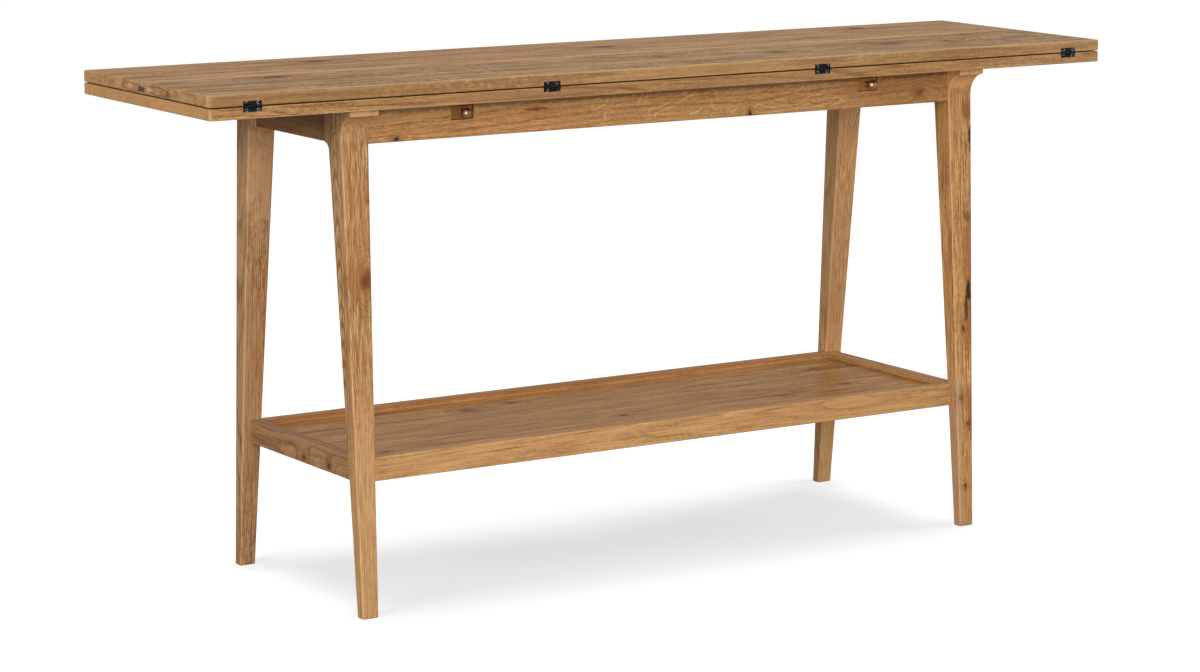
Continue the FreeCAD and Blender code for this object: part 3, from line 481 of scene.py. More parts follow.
def make_oak_finish():
    """Puts the figure together: colour, roughness and height of a lacquered oak face."""
    group, take, give = effect(
        "oak_finish",
        [
            ("Ring", "Float", 0.0),
            ("Late", "Float", 0.0),
            ("Fine", "Float", 0.5),
            ("Broad", "Float", 0.5),
            ("Pores", "Float", 0.0),
            ("Fleck", "Float", 0.0),
            ("Heart", "Float", 0.0),
            ("Halo", "Float", 0.0),
            ("End Grain", "Float", 0.0),
            ("Arris", "Float", 0.0),
            ("Blush", "Float", 0.0),
            ("Sapwood", "Float", 0.0),
            ("Streak", "Float", 0.0),
            ("Soot", "Float", 0.0),
            ("Board Number", "Float", 0.0),
            ("Figure", "Float", 1.0),
            ("Stripes", "Float", 0.4),
            ("Speckle", "Float", 1.1),
            ("Pale", "Color", tone(*PALE_OAK)),
            ("Deep", "Color", tone(*DEEP_OAK)),
            ("Gloss Roughness", "Float", 0.5),
        ],
        [("Colour", "Color"), ("Roughness", "Float"), ("Height", "Float")],
    )
    warm, light, _ = chance(group, plus(group, take["Board Number"], 17.3))
    contrast = times(group, take["Figure"], scaled(group, take["End Grain"], -0.2, 0.55))
    depth = scaled(group, take["Ring"], contrast, -0.26)
    depth = scaled(group, take["Late"], -0.08, depth)
    speckle = times(group, take["Speckle"], scaled(group, take["End Grain"], -0.6, 1.0))
    depth = scaled(group, minus(group, take["Fine"], 0.5), speckle, depth)
    stripes = times(group, minus(group, take["Broad"], 0.5), take["Stripes"])
    depth = plus(group, depth, plus(group, stripes, 0.60))
    depth = scaled(group, light, 0.15, depth)
    depth = scaled(group, take["End Grain"], -0.14, depth)
    # Painted highlight: paler colour on rounded edges.
    depth = minus(group, depth, take["Arris"])
    colour = tint(group, calc(group, "ADD", depth, 0.0, clamp=True), take["Pale"], take["Deep"])
    colour = tint(group, times(group, warm, 0.16), colour, tone(190, 122, 66))
    colour = tint(group, take["Blush"], colour, tone(168, 92, 44))
    colour = tint(group, take["Sapwood"], colour, tone(206, 166, 112))
    colour = tint(group, take["Streak"], colour, tone(112, 84, 62))
    colour = tint(group, times(group, take["Fleck"], 0.55), colour, tone(226, 188, 132))
    pores = times(group, take["Pores"], scaled(group, take["End Grain"], -0.25, 0.4))
    colour = tint(group, pores, colour, tone(92, 60, 36))
    colour = tint(group, times(group, take["Halo"], 0.50), colour, tone(128, 76, 38))
    colour = tint(group, times(group, take["Heart"], 0.85), colour, tone(50, 30, 18))
    # Painted shade: near black in the gap between the two leaves.
    colour = tint(group, take["Soot"], colour, tone(20, 13, 9))
    feed(group, give["Colour"], colour)
    uneven = scaled(group, take["Broad"], 0.08, take["Gloss Roughness"])
    uneven = scaled(group, take["Pores"], 0.15, uneven)
    uneven = scaled(group, take["Heart"], 0.10, uneven)
    uneven = scaled(group, take["Arris"], -0.10, uneven)
    feed(group, give["Roughness"], uneven)
    height = scaled(group, take["Pores"], -0.6, times(group, take["Fine"], 0.25))
    height = scaled(group, take["Ring"], -0.2, height)
    height = scaled(group, take["Heart"], -0.4, height)
    feed(group, give["Height"], height)
    return group


GLUED_BOARDS = make_glued_boards()
GROWTH_RINGS = make_growth_rings()
OAK_FIBRE = make_oak_fibre()
RAY_FLECK = make_ray_fleck()
BRANCH_KNOT = make_branch_knot()
STAIN = make_stain()
END_ARCS = make_end_arcs()
OAK_FINISH = make_oak_finish()

ALONG_X = (0, 0, 0)
ALONG_Y = (0, 0, -math.pi / 2)
ALONG_Z = (0, math.pi / 2, 0)


def new_material(name):
    """Empty material with its output and the object's own coordinates."""
    material = bpy.data.materials.new(name)
    material.use_nodes = True
    tree = material.node_tree
    tree.nodes.clear()
    output = tree.nodes.new("ShaderNodeOutputMaterial")
    surface = tree.nodes.new("ShaderNodeBsdfPrincipled")
    tree.links.new(surface.outputs[0], output.inputs["Surface"])
    place = tree.nodes.new("ShaderNodeTexCoord")
    return material, tree, surface, place.outputs


def raise_grain(tree, surface, height, depth):
    """Bump from a height; depth is in metres."""
    bump = tree.nodes.new("ShaderNodeBump")
    bump.inputs["Strength"].default_value = 1.0
    bump.inputs["Distance"].default_value = depth
    feed(tree, bump.inputs["Height"], height)
    tree.links.new(bump.outputs[0], surface.inputs["Normal"])


def dyed(screen_colour, hue):
    """A wood tone multiplied by a light factor for red, green and blue."""
    colour = tone(*screen_colour)
    return (*(min(part * factor, 1) for part, factor in zip(colour, hue)), 1)


def turned(tree, value, grain):
    """A place or a direction, with X laid along the grain."""
    node = tree.nodes.new("ShaderNodeMapping")
    node.inputs["Rotation"].default_value = grain
    feed(tree, node.inputs["Vector"], value)
    return node.outputs[0]


def soot_line(tree, x, y, z, level, outer_x, outer_y):
    """Painted shade at one level, only along the outline of a leaf, for the dark gap between the
    leaves.
    """
    shade_band = spread(tree, apart(tree, z, level), 0.0006, 0.0014, 0.9, 0)
    past_x = minus(tree, size_of(tree, x), outer_x)
    past_y = minus(tree, size_of(tree, y), outer_y)
    past_outline = calc(tree, "MAXIMUM", past_x, past_y)
    return times(tree, shade_band, spread(tree, past_outline, -0.004, -0.0015))


def oak(
    name,
    middle=(0, 0, 0),
    grain=ALONG_X,
    board=5.0,
    shift=-2.5,
    seed=0.0,
    pith=(0, 0.02, -0.06),
    lean=(0, 0, 0.01),
    lean_from=-FAR,
    lean_until=FAR,
    ring=0.004,
    ripple=1.2,
    variety=1.0,
    wander=0.03,
    knots=(),
    arcs=(),
    stains=(),
    fleck=0.0,
    fleck_from=-FAR,
    fleck_to=FAR,
    soot=None,
    figure=1.0,
    stripes=0.4,
    lines=0.45,
    fineness=1.0,
    coarse=1.0,
    speckle=1.1,
    calm_below=None,
    blush=0.12,
    sapwood=0.0,
    streaks=0.0,
    streak_turns=1.6,
    edge=0.15,
    hue=(1.0, 1.0, 1.0),
    roughness=0.45,
):
    """Lacquered oak for one piece.

    Middle, marks, soot (painted shade in the gap between the leaves), calm_below and the ends of
    the flecks are given in the table's own metres; pith, lean and boards from the piece's middle,
    with X along the grain.
    """
    material, tree, surface, place = new_material(name)
    centred = vector(tree, "SUBTRACT", place["Object"], middle)
    own_place = turned(tree, centred, grain)
    boards = use(
        tree,
        GLUED_BOARDS,
        Place=own_place,
        Board_Width=board,
        Joint_Shift=shift,
        Variety=variety,
        Seed=seed,
    )
    swirl = heart = halo = 0.0
    for spot, size, darkness in knots:
        knot = use(
            tree,
            BRANCH_KNOT,
            Place=place["Object"],
            Middle=spot,
            Size=size,
            Darkness=darkness,
            Heart_Before=heart,
            Halo_Before=halo,
            Swirl_Before=swirl,
        )
        heart, halo, swirl = knot["Heart"], knot["Halo"], knot["Swirl"]
    rings = use(
        tree,
        GROWTH_RINGS,
        Place=boards["Place"],
        Along=boards["Along"],
        Pith=pith,
        Lean=lean,
        Lean_From=lean_from,
        Lean_Until=lean_until,
        Wander=wander,
        Ring_Width=ring,
        Ripple=ripple,
        Swirl=swirl,
        Seed=seed,
    )
    fibre = use(
        tree,
        OAK_FIBRE,
        Place=boards["Place"],
        Ring=rings["Ring"],
        Long_Lines=lines,
        Fineness=fineness,
        Coarse=coarse,
    )
    table_x, table_y, table_z = split(tree, place["Object"])
    region = times(
        tree,
        spread(tree, table_x, fleck_from - FLECK_FADE, fleck_from + FLECK_FADE, 0, fleck),
        spread(tree, table_x, fleck_to - FLECK_FADE, fleck_to + FLECK_FADE, 1, 0),
    )
    flecks = use(tree, RAY_FLECK, Place=boards["Place"], Amount=region)
    along, sideways, upwards = split(tree, turned(tree, place["Normal"], grain))
    end_grain = spread(tree, size_of(tree, along), 0.6, 0.8)
    slant = calc(tree, "MINIMUM", size_of(tree, sideways), size_of(tree, upwards))
    # Painted highlight: rounded edges come out paler, by the edge amount, and a little smoother.
    arris = spread(tree, slant, 0.2, 0.6, 0, edge)
    pale_joint = spread(tree, boards["Joint"], 0.002, 0.009, sapwood, 0)
    long_marks = mottle(tree, boards["Place"], (streak_turns, 65, 220), 3.0, 0.6, 0.2)
    shade_band = 0.0
    if soot is not None:
        shade_band = soot_line(tree, table_x, table_y, table_z, *soot)
    patches = mottle(tree, boards["Place"], (4, 28, 28), 2.0, 0.5, 0.5)
    reddish = spread(tree, patches, 0.5, 0.72, 0, blush)
    if calm_below is not None:
        calm = speckle * CALM_SHARE
        speckle = spread(tree, table_z, calm_below - CALM_FADE, calm_below, calm, speckle)
    finish = use(
        tree,
        OAK_FINISH,
        Ring=rings["Ring"],
        Late=rings["Late"],
        Fine=fibre["Fine"],
        Broad=fibre["Broad"],
        Pores=fibre["Pores"],
        Fleck=flecks["Fleck"],
        Heart=heart,
        Halo=halo,
        End_Grain=end_grain,
        Arris=arris,
        Blush=reddish,
        Sapwood=pale_joint,
        Streak=spread(tree, long_marks, 0.54, 0.7, 0, streaks),
        Soot=shade_band,
        Board_Number=boards["Number"],
        Figure=figure,
        Stripes=stripes,
        Speckle=speckle,
        Pale=dyed(PALE_OAK, hue),
        Deep=dyed(DEEP_OAK, hue),
        Gloss_Roughness=roughness,
    )
    colour = finish["Colour"]
    for spot, size, count, width, amount in arcs:
        colour = use(
            tree,
            END_ARCS,
            Under=colour,
            Place=place["Object"],
            Middle=spot,
            Size=size,
            Count=count,
            Width=width,
            Amount=amount,
        )["Colour"]
    for spot, size, screen_colour, amount in stains:
        colour = use(
            tree,
            STAIN,
            Under=colour,
            Place=place["Object"],
            Middle=spot,
            Size=size,
            Tone=tone(*screen_colour),
            Amount=amount,
        )["Colour"]
    feed(tree, surface.inputs["Base Color"], colour)
    feed(tree, surface.inputs["Roughness"], finish["Roughness"])
    surface.inputs["Specular IOR Level"].default_value = OAK_SHINE
    raise_grain(tree, surface, finish["Height"], OAK_GRAIN_DEPTH)
    return material


def cover(material, *names):
    """Gives a finish to the named pieces."""
    for name in names:
        for slot in NODES[name].material_slots:
            slot.material = material


def dress(piece, label, **look):
    """Gives one piece an oak of its own."""
    cover(oak(label, **look), piece)


def on_face(axis, level, depth, *marks):
    """Marks on one flat face, each as two places, two sizes and its own values.

    The level is the face's own place along the axis, and the depth is how far the marks reach.
    """
    full = []
    for first, second, first_size, second_size, *values in marks:
        place = [first, second]
        size = [first_size, second_size]
        place.insert(axis, level)
        size.insert(axis, depth)
        full.append((tuple(place), tuple(size), *values))
    return tuple(full)


# ---- Finishes, piece by piece ----
def finish_top():
    """Two wide boards in each leaf, with the year rings on their left ends, and painted shade
    along the gap between them.
    """
    # Painted shade along the gap between the two leaves.
    soot = (LEAF_GAP_Z, HALF_LENGTH, HALF_DEPTH)
    dress(
        "upper_leaf",
        "upper_leaf_oak",
        middle=(0, 0.006, UPPER_LEAF_Z),
        board=0.2,
        shift=0.0,
        pith=(0, 0.01, -0.014),
        lean=(0, 0.01, 0.004),
        ring=0.0045,
        seed=3.0,
        figure=0.5,
        stripes=1.5,
        fineness=0.3,
        coarse=0.5,
        sapwood=0.8,
        streaks=0.6,
        streak_turns=8.0,
        speckle=2.3,
        hue=(0.77, 0.775, 0.765),
        soot=soot,
        knots=on_face(
            Z, LEAF_FACE_Z, 0.02,
            (-0.441, 0.138, 0.034, 0.013, 1.0),
            (0.045, 0.102, 0.028, 0.012, 1.0),
            (0.569, 0.152, 0.014, 0.010, 0.9),
            (-0.599, -0.028, 0.028, 0.011, 1.0),
            (0.033, -0.071, 0.012, 0.008, 0.9),
            (0.229, -0.098, 0.020, 0.012, 1.0),
            (0.461, -0.078, 0.034, 0.011, 1.0),
            (0.567, -0.090, 0.016, 0.008, 0.9),
        ),
        arcs=on_face(
            X, -HALF_LENGTH, 0.02,
            (-0.0415, 0.7535, 0.0335, 0.0060, 1.0, 0.45, 0.85),
            (0.0380, 0.7528, 0.0340, 0.0055, 1.0, 0.40, 0.75),
        ),
        stains=(
            *on_face(X, -HALF_LENGTH, 0.004, (0.0, UPPER_LEAF_Z, 0.35, 0.03, (190, 140, 92), 0.2)),
            *on_face(
                X, -HALF_LENGTH, 0.006,
                (0.011, 0.7520, 0.014, 0.005, (66, 42, 30), 0.85),
                (-0.073, 0.7500, 0.006, 0.007, (112, 72, 44), 0.6),
                (0.045, 0.7540, 0.010, 0.004, END_CREAM, 0.5),
                (0.083, 0.7540, 0.012, 0.004, END_CREAM, 0.5),
                (-0.013, 0.7535, 0.009, 0.004, (214, 180, 146), 0.6),
                (0.001, 0.7540, 0.0022, 0.02, (74, 50, 34), 0.7),
            ),
            *on_face(
                Y, -HALF_DEPTH, 0.004,
                (-0.95, UPPER_LEAF_Z, 0.75, 0.02, EDGE_BROWN, 0.45),
                (0.05, UPPER_LEAF_Z, 0.60, 0.02, EDGE_BROWN, 0.25),
                (0.62, UPPER_LEAF_Z, 0.35, 0.02, EDGE_BROWN, 0.2),
                (-0.55, UPPER_LEAF_Z, 0.35, 0.02, (112, 72, 36), 0.15),
            ),
        ),
    )
    dress(
        "lower_leaf",
        "lower_leaf_oak",
        middle=(0, 0.0, LOWER_LEAF_Z),
        board=0.2,
        shift=-0.04,
        pith=(0, 0.0, -0.02),
        lean=(0, 0.01, 0.004),
        figure=0.7,
        edge=0.5,
        seed=8.0,
        hue=(0.78, 0.76, 0.76),
        soot=soot,
        arcs=on_face(
            X, -HALF_LENGTH, 0.02,
            (0.152, 0.734, 0.028, 0.010, 2.0, 0.2, 0.4),
            (0.094, 0.734, 0.036, 0.010, 2.0, 0.2, 0.4),
            (0.020, 0.734, 0.032, 0.010, 3.0, 0.16, 0.4),
            (-0.100, 0.733, 0.092, 0.009, 2.0, 0.12, 0.4),
        ),
        stains=(
            *on_face(Y, -HALF_DEPTH, 0.004, (0.05, LOWER_LEAF_Z, 0.50, 0.02, EDGE_BROWN, 0.2)),
            # Painted highlight: a pale line along the bottom arris of the front edge.
            ((0.0, -0.1998, 0.7272), (FAR, 0.004, 0.0024), (232, 200, 160), 0.2),
            ((-HALF_LENGTH, 0.0, LOWER_LEAF_Z), (0.004, 0.30, 0.03), (216, 162, 104), 0.4),
        ),
    )


def finish_aprons():
    """Front apron with curly flecks and painted shade along its top, a plain rear one, and ends
    darkened with painted shade.
    """
    dress(
        "front_apron",
        "front_apron_oak",
        middle=(0, -0.143, APRON_Z),
        seed=12.0,
        pith=(0, 0.06, 0.05),
        ring=0.006,
        figure=0.35,
        stripes=0.18,
        lines=0.4,
        speckle=0.9,
        fleck=0.75,
        fleck_from=-0.16,
        fleck_to=0.35,
        hue=(0.94, 0.88, 0.80),
        knots=on_face(
            Y, APRON_FRONT, 0.01,
            (-0.472, 0.679, 0.006, 0.004, 1.0),
            (-0.238, 0.708, 0.004, 0.002, 1.0),
            (0.141, 0.680, 0.004, 0.006, 1.0),
            (0.465, 0.692, 0.006, 0.006, 1.0),
        ),
        arcs=on_face(Y, APRON_FRONT, 0.02, (0.465, 0.692, 0.080, 0.022, 4.0, 0.05, 0.3)),
        stains=(
            *on_face(
                Y, APRON_FRONT, 0.01,
                (-0.240, 0.708, 0.026, 0.003, (128, 70, 32), 0.8),
                (0.463, 0.694, 0.016, 0.007, (134, 80, 40), 0.5),
                (0.430, 0.705, 0.13, 0.05, (132, 84, 40), 0.3),
            ),
            # Painted shade: a dark band along the apron's top, under the leaf's overhang.
            ((0.0, APRON_FRONT, 0.7240), (FAR, 0.02, 0.0095), (66, 42, 24), 0.5),
        ),
    )
    dress("rear_apron", "rear_apron_oak", middle=(0, 0.143, APRON_Z), seed=15.0, figure=0.6)
    # The end aprons' dark hue is painted shade from the top's overhang; the paler patch lightens
    # the front of the left one.
    paler = ((-END_APRON_X, -0.06, 0.674), (0.03, 0.07, 0.018), (206, 150, 92), 0.3)
    for piece, x, seed, stains in (
        ("left_end_apron", -END_APRON_X, 21.0, (paler,)),
        ("right_end_apron", END_APRON_X, 24.0, ()),
    ):
        dress(
            piece,
            piece + "_oak",
            middle=(x, 0, APRON_Z),
            grain=ALONG_Y,
            seed=seed,
            figure=0.4,
            hue=(0.58, 0.48, 0.38),
            stains=stains,
        )


def finish_leg(piece, x, y, **look):
    """One leg, with the grain upright."""
    dress(piece, piece + "_oak", middle=(x, y, LEG_Z), grain=ALONG_Z, edge=0.4, **look)


def finish_legs():
    """Front left with arches and a knot, front right with a dark edge, plainer rear legs, and
    painted light on the heads of the front legs.
    """
    knot_y, knot_z = -0.1694, 0.4832
    finish_leg(
        "front_left_leg",
        -LEG_X,
        -LEG_Y,
        pith=(0, 0.009, 0.038),
        lean=(0, 0.057, 0.08),
        lean_from=-0.04,
        lean_until=0.33,
        ring=0.0021,
        ripple=0.45,
        variety=0.0,
        wander=0.006,
        figure=3.0,
        lines=0.9,
        fineness=0.95,
        speckle=2.2,
        calm_below=0.42,
        stripes=0.2,
        seed=31.0,
        hue=(0.97, 1.03, 1.12),
        knots=(
            ((-0.5321, knot_y, knot_z), (0.006, 0.02, 0.009), 0.8),
            ((-0.523, -0.161, 0.595), (0.003, 0.01, 0.003), 0.8),
        ),
        arcs=(((-0.5301, knot_y, knot_z), (0.034, 0.03, 0.052), 6.0, 0.05, 0.25),),
        stains=(
            # Painted light and shade on the leg head: the lip, the cove and the band below it.
            ((-LEG_X, -0.188, 0.7212), (0.06, 0.03, 0.0045), (232, 184, 132), 0.6),
            ((-LEG_X, -0.175, 0.7125), (0.06, 0.05, 0.0120), (214, 156, 104), 0.4),
            ((-LEG_X, -0.160, 0.6920), (0.06, 0.03, 0.0120), (222, 176, 124), 0.25),
            # Painted light on the top of the outer side, which lies in shade.
            ((-0.571, -0.139, 0.697), (0.006, 0.014, 0.024), (232, 186, 124), 0.6),
            ((-0.5381, knot_y, knot_z), (0.028, 0.02, 0.032), (148, 94, 48), 0.55),
            ((-0.5311, knot_y, knot_z), (0.010, 0.02, 0.014), (104, 54, 24), 0.75),
            ((-LEG_X, -0.19, 0.14), (0.06, 0.03, 0.22), (212, 166, 114), 0.35),
            ((-0.567, -0.15, 0.62), (0.010, 0.06, 0.12), (204, 168, 126), 0.15),
        ),
    )
    finish_leg(
        "front_right_leg",
        LEG_X,
        -LEG_Y,
        pith=(0, 0.02, -0.07),
        lean=(0, 0, 0.01),
        ring=0.003,
        seed=34.0,
        figure=0.6,
        lines=0.6,
        fineness=0.8,
        speckle=1.3,
        hue=(1.06, 1.00, 0.92),
        knots=(
            ((0.535, -0.185, 0.207), (0.008, 0.01, 0.008), 1.0),
            ((0.551, -0.188, 0.164), (0.005, 0.01, 0.005), 0.9),
            ((0.542, -0.1935, 0.064), (0.004, 0.01, 0.005), 0.9),
            ((0.542, -0.180, 0.316), (0.003, 0.015, 0.007), 1.0),
        ),
        stains=(
            # Painted light on the cove of the leg head.
            ((LEG_X, -0.175, 0.7110), (0.06, 0.05, 0.0200), (240, 180, 114), 0.6),
            ((0.554, -0.1594, 0.657), (0.009, 0.010, 0.022), (136, 84, 44), 0.85),
            ((0.556, -0.1716, 0.440), (0.015, 0.012, 0.085), (142, 86, 40), 0.6),
            ((0.556, -0.1782, 0.330), (0.011, 0.012, 0.050), (140, 84, 40), 0.8),
            ((0.556, -0.1869, 0.180), (0.009, 0.012, 0.050), (140, 78, 36), 0.7),
            ((0.567, -0.1708, 0.46), (0.0090, 0.020, 0.160), (70, 48, 52), 0.9),
            ((0.563, -0.1617, 0.618), (0.0065, 0.008, 0.026), (34, 22, 20), 0.95),
            ((0.5525, -0.1689, 0.494), (0.007, 0.010, 0.009), (116, 66, 30), 0.7),
            ((0.553, -0.1757, 0.376), (0.0050, 0.010, 0.018), (38, 24, 18), 0.95),
            ((0.5485, -0.1772, 0.350), (0.0036, 0.010, 0.026), (66, 40, 24), 0.85),
            ((0.530, -0.17, 0.10), (0.007, 0.08, 0.20), (186, 150, 116), 0.45),
        ),
    )
    finish_leg(
        "rear_left_leg",
        -LEG_X,
        LEG_Y,
        pith=(0, 0.0, -0.05),
        lean=(0, 0, 0.04),
        ring=0.003,
        seed=37.0,
        blush=0.3,
        lines=0.6,
        fineness=0.8,
        speckle=1.3,
        hue=(0.80, 0.79, 0.88),
        knots=(((-0.571, 0.163, 0.074), (0.006, 0.004, 0.004), 0.9),),
        stains=(
            ((-0.568, 0.133, 0.597), (0.01, 0.006, 0.020), (140, 76, 40), 0.6),
            ((-0.53, 0.10, 0.60), (0.08, 0.05, 0.12), (196, 152, 108), 0.7),
        ),
    )
    finish_leg(
        "rear_right_leg",
        LEG_X,
        LEG_Y,
        pith=(0, 0.0, -0.05),
        lean=(0, 0, 0.05),
        ring=0.003,
        seed=40.0,
        blush=0.15,
        stripes=0.2,
        figure=0.6,
        lines=0.8,
        fineness=0.9,
        speckle=0.65,
        hue=(1.20, 1.20, 1.24),
        stains=(
            ((0.53, 0.13, 0.38), (0.08, 0.08, 0.14), (146, 104, 74), 0.25),
            ((0.53, 0.14, 0.27), (0.08, 0.08, 0.10), (150, 110, 82), 0.2),
            ((0.520, 0.165, 0.50), (0.008, 0.06, 0.30), (206, 168, 124), 0.3),
        ),
    )


def finish_shelf():
    """Four rails and the panel between them."""
    rail_z = 0.21
    dress(
        "shelf_front_rail",
        "shelf_front_oak",
        middle=(0, -0.16, rail_z),
        seed=51.0,
        pith=(0, 0.03, 0.0),
        lean=(0, -0.02, 0.02),
        figure=0.2,
        stripes=0.12,
        lines=0.6,
        speckle=0.7,
        hue=(1.09, 1.10, 1.11),
    )
    dress(
        "shelf_rear_rail",
        "shelf_rear_oak",
        middle=(0, 0.16, rail_z),
        seed=54.0,
        figure=0.5,
        hue=(0.86, 0.80, 0.74),
        stains=(
            # Painted shade along the rail's top, under the table top: a dark line at the rear edge
            # and a brown one at the inner edge.
            ((0, 0.1690, 0.227), (FAR, 0.003, 0.004), (70, 44, 28), 0.8),
            ((0, 0.1500, 0.226), (FAR, 0.003, 0.005), (150, 88, 42), 0.6),
        ),
    )
    dress(
        "shelf_left_rail",
        "shelf_left_oak",
        middle=(-0.536, 0, rail_z),
        grain=ALONG_Y,
        seed=57.0,
        pith=(0, 0.06, 0.0),
        figure=0.6,
        blush=0.5,
        hue=(0.74, 0.70, 0.74),
        knots=on_face(
            X, -0.5455, 0.006,
            (-0.006, 0.201, 0.008, 0.006, 0.7),
            (-0.080, 0.202, 0.007, 0.005, 0.9),
        ),
    )
    dress(
        "shelf_right_rail",
        "shelf_right_oak",
        middle=(0.536, 0, rail_z),
        grain=ALONG_Y,
        seed=60.0,
        figure=0.5,
        blush=0.3,
    )
    dress(
        "shelf_panel",
        "shelf_panel_oak",
        middle=(0, 0, 0.212),
        board=0.15,
        shift=0.0,
        pith=(0, 0.02, -0.02),
        seed=63.0,
        figure=0.7,
        stripes=1.15,
        coarse=0.7,
        streaks=0.6,
        hue=(1.09, 0.96, 0.63),
        roughness=0.36,
        knots=on_face(
            Z, SHELF_TOP, 0.01,
            (-0.209, 0.090, 0.018, 0.012, 0.6),
            (-0.122, 0.107, 0.010, 0.006, 0.8),
            (-0.027, -0.068, 0.010, 0.006, 0.8),
            (0.443, 0.085, 0.012, 0.007, 0.7),
            (0.413, -0.045, 0.010, 0.006, 0.8),
            (0.273, -0.070, 0.010, 0.006, 0.8),
            (-0.347, 0.135, 0.030, 0.004, 0.6),
            (-0.467, -0.105, 0.010, 0.005, 0.7),
        ),
        stains=on_face(Z, SHELF_TOP, 0.01, (0.248, -0.010, 0.016, 0.008, (136, 84, 44), 0.5)),
    )


def finish_lopers():
    """Pull-out supports; the front end is dark with painted shade where it meets its notch."""
    for piece, x, hue in (
        ("left_loper", -LOPER_X, (0.49, 0.33, 0.20)),
        ("right_loper", LOPER_X, (0.62, 0.44, 0.27)),
    ):
        dress(
            piece,
            piece + "_oak",
            middle=(x, 0, 0.7136),
            grain=ALONG_Y,
            seed=70.0 + x,
            figure=0.3,
            blush=0.6,
            hue=hue,
            # Painted shade: black along the top of the front end under the leaf, dark lines down
            # both sides in the notch.
            stains=on_face(
                Y, LOPER_FRONT, 0.003,
                (x, 0.7225, 0.03, 0.0035, (14, 10, 8), 0.9),
                (x - 0.0185, 0.713, 0.0012, 0.03, (30, 20, 14), 0.7),
                (x + 0.0185, 0.713, 0.0016, 0.03, (24, 16, 12), 0.8),
            ),
        )


def speckled(name, base, worn, metallic, roughness, shine, grain=900.0, depth=0.00005):
    """Metal or felt: two tones in fine patches, uneven gloss, and a fine surface."""
    material, tree, surface, place = new_material(name)
    cloud = mottle(tree, place["Object"], (60, 60, 60), 3.0, 0.6)
    fine = mottle(tree, place["Object"], (grain, grain, grain), 3.0, 0.6)
    blend = scaled(tree, fine, 0.5, times(tree, cloud, 0.5))
    patch = spread(tree, blend, 0.42, 0.68)
    feed(tree, surface.inputs["Base Color"], tint(tree, patch, tone(*base), tone(*worn)))
    feed(tree, surface.inputs["Roughness"], scaled(tree, patch, -0.12, roughness))
    surface.inputs["Metallic"].default_value = metallic
    surface.inputs["Specular IOR Level"].default_value = shine
    raise_grain(tree, surface, fine, depth)
    return material


def hinge_black():
    """Black coated metal with scuffs. Each screw head has a cross cut with painted shade in it and
    a painted glint round its rim.
    """
    material, tree, surface, place = new_material("hinge_black")
    x, _, z = split(tree, place["Object"])
    for fold in HINGE_FOLDS:
        x = apart(tree, size_of(tree, x), fold)
    beside = apart(tree, x, HINGE_SCREW_X)
    above = apart(tree, apart(tree, z, HINGE_Z), HINGE_SCREW_Z)
    narrow = calc(tree, "MINIMUM", beside, above)
    wide = calc(tree, "MAXIMUM", beside, above)
    inside = spread(tree, narrow, 0.0002, 0.0004, 1, 0)
    cut = times(tree, inside, spread(tree, wide, 0.0011, 0.0014, 1, 0))
    cloud = mottle(tree, place["Object"], (140, 140, 140), 4.0, 0.65)
    scuffs = spread(tree, mottle(tree, place["Object"], (260, 900, 900), 3.0, 0.6), 0.60, 0.70)
    colour = tint(tree, spread(tree, cloud, 0.35, 0.7), tone(5, 5, 6), tone(17, 17, 18))
    colour = tint(tree, times(tree, scuffs, 0.6), colour, tone(92, 86, 80))
    # Painted glint: a bright ring round each screw head, broken by the cloud.
    to_screw = vector(tree, "LENGTH", build(tree, beside, above, 0.0))
    rim_glint = spread(tree, apart(tree, to_screw, SCREW_GLINT_RING), 0.0002, 0.0004, 1, 0)
    rim_glint = times(tree, rim_glint, spread(tree, cloud, 0.46, 0.54))
    colour = tint(tree, times(tree, rim_glint, 0.8), colour, tone(190, 190, 192))
    # Painted shade in the cross cut of each screw head.
    colour = tint(tree, cut, colour, tone(2, 2, 2))
    feed(tree, surface.inputs["Base Color"], colour)
    feed(tree, surface.inputs["Roughness"], scaled(tree, cloud, 0.25, 0.36))
    surface.inputs["Specular IOR Level"].default_value = 0.15
    raise_grain(tree, surface, scaled(tree, cut, -6.0, cloud), 0.00006)
    return material


def finish_fittings():
    """Hinges, knobs, screws, pads and the hidden wood."""
    black = hinge_black()
    cover(black, "upper_hinge_plates", "lower_hinge_plates", "hinge_pins")
    cover(black, "upper_hinge_screws", "lower_hinge_screws")
    brass = speckled("old_brass", (132, 98, 68), (208, 172, 130), 1.0, 0.4, 0.5, 500.0)
    cover(brass, "left_loper_knob", "right_loper_knob")
    steel = speckled("zinc_steel", (150, 150, 150), (186, 186, 188), 1.0, 0.45, 0.5)
    cover(steel, "corner_block_screws", "top_button_screws", "guide_screws")
    cover(steel, "shelf_cleat_screws", "left_knob_stud", "right_knob_stud")
    felt = speckled("pad_felt", (52, 42, 34), (86, 72, 58), 0.0, 0.95, 0.1, 2200.0, 0.0003)
    cover(felt, "leaf_pads")
    plain = oak("plain_block_wood", seed=90.0, roughness=0.65, blush=0.0, hue=(1.12, 1.2, 1.4))
    cover(plain, "corner_blocks", "top_buttons", "shelf_cleats", "shelf_dowels")
    cover(plain, "left_guide_strips", "left_guide_keeper", "left_stop_pin")
    cover(plain, "right_guide_strips", "right_guide_keeper", "right_stop_pin")


# ---- Floor, background and light ----
def seen_straight(tree):
    """1 for what the camera sees directly or through glass, and a share of it in a mirror."""
    path = tree.nodes.new("ShaderNodeLightPath").outputs
    mirrored = scaled(tree, path["Is Glossy Ray"], GLOSSY_SHARE, path["Is Camera Ray"])
    return calc(tree, "ADD", mirrored, path["Is Transmission Ray"], clamp=True)


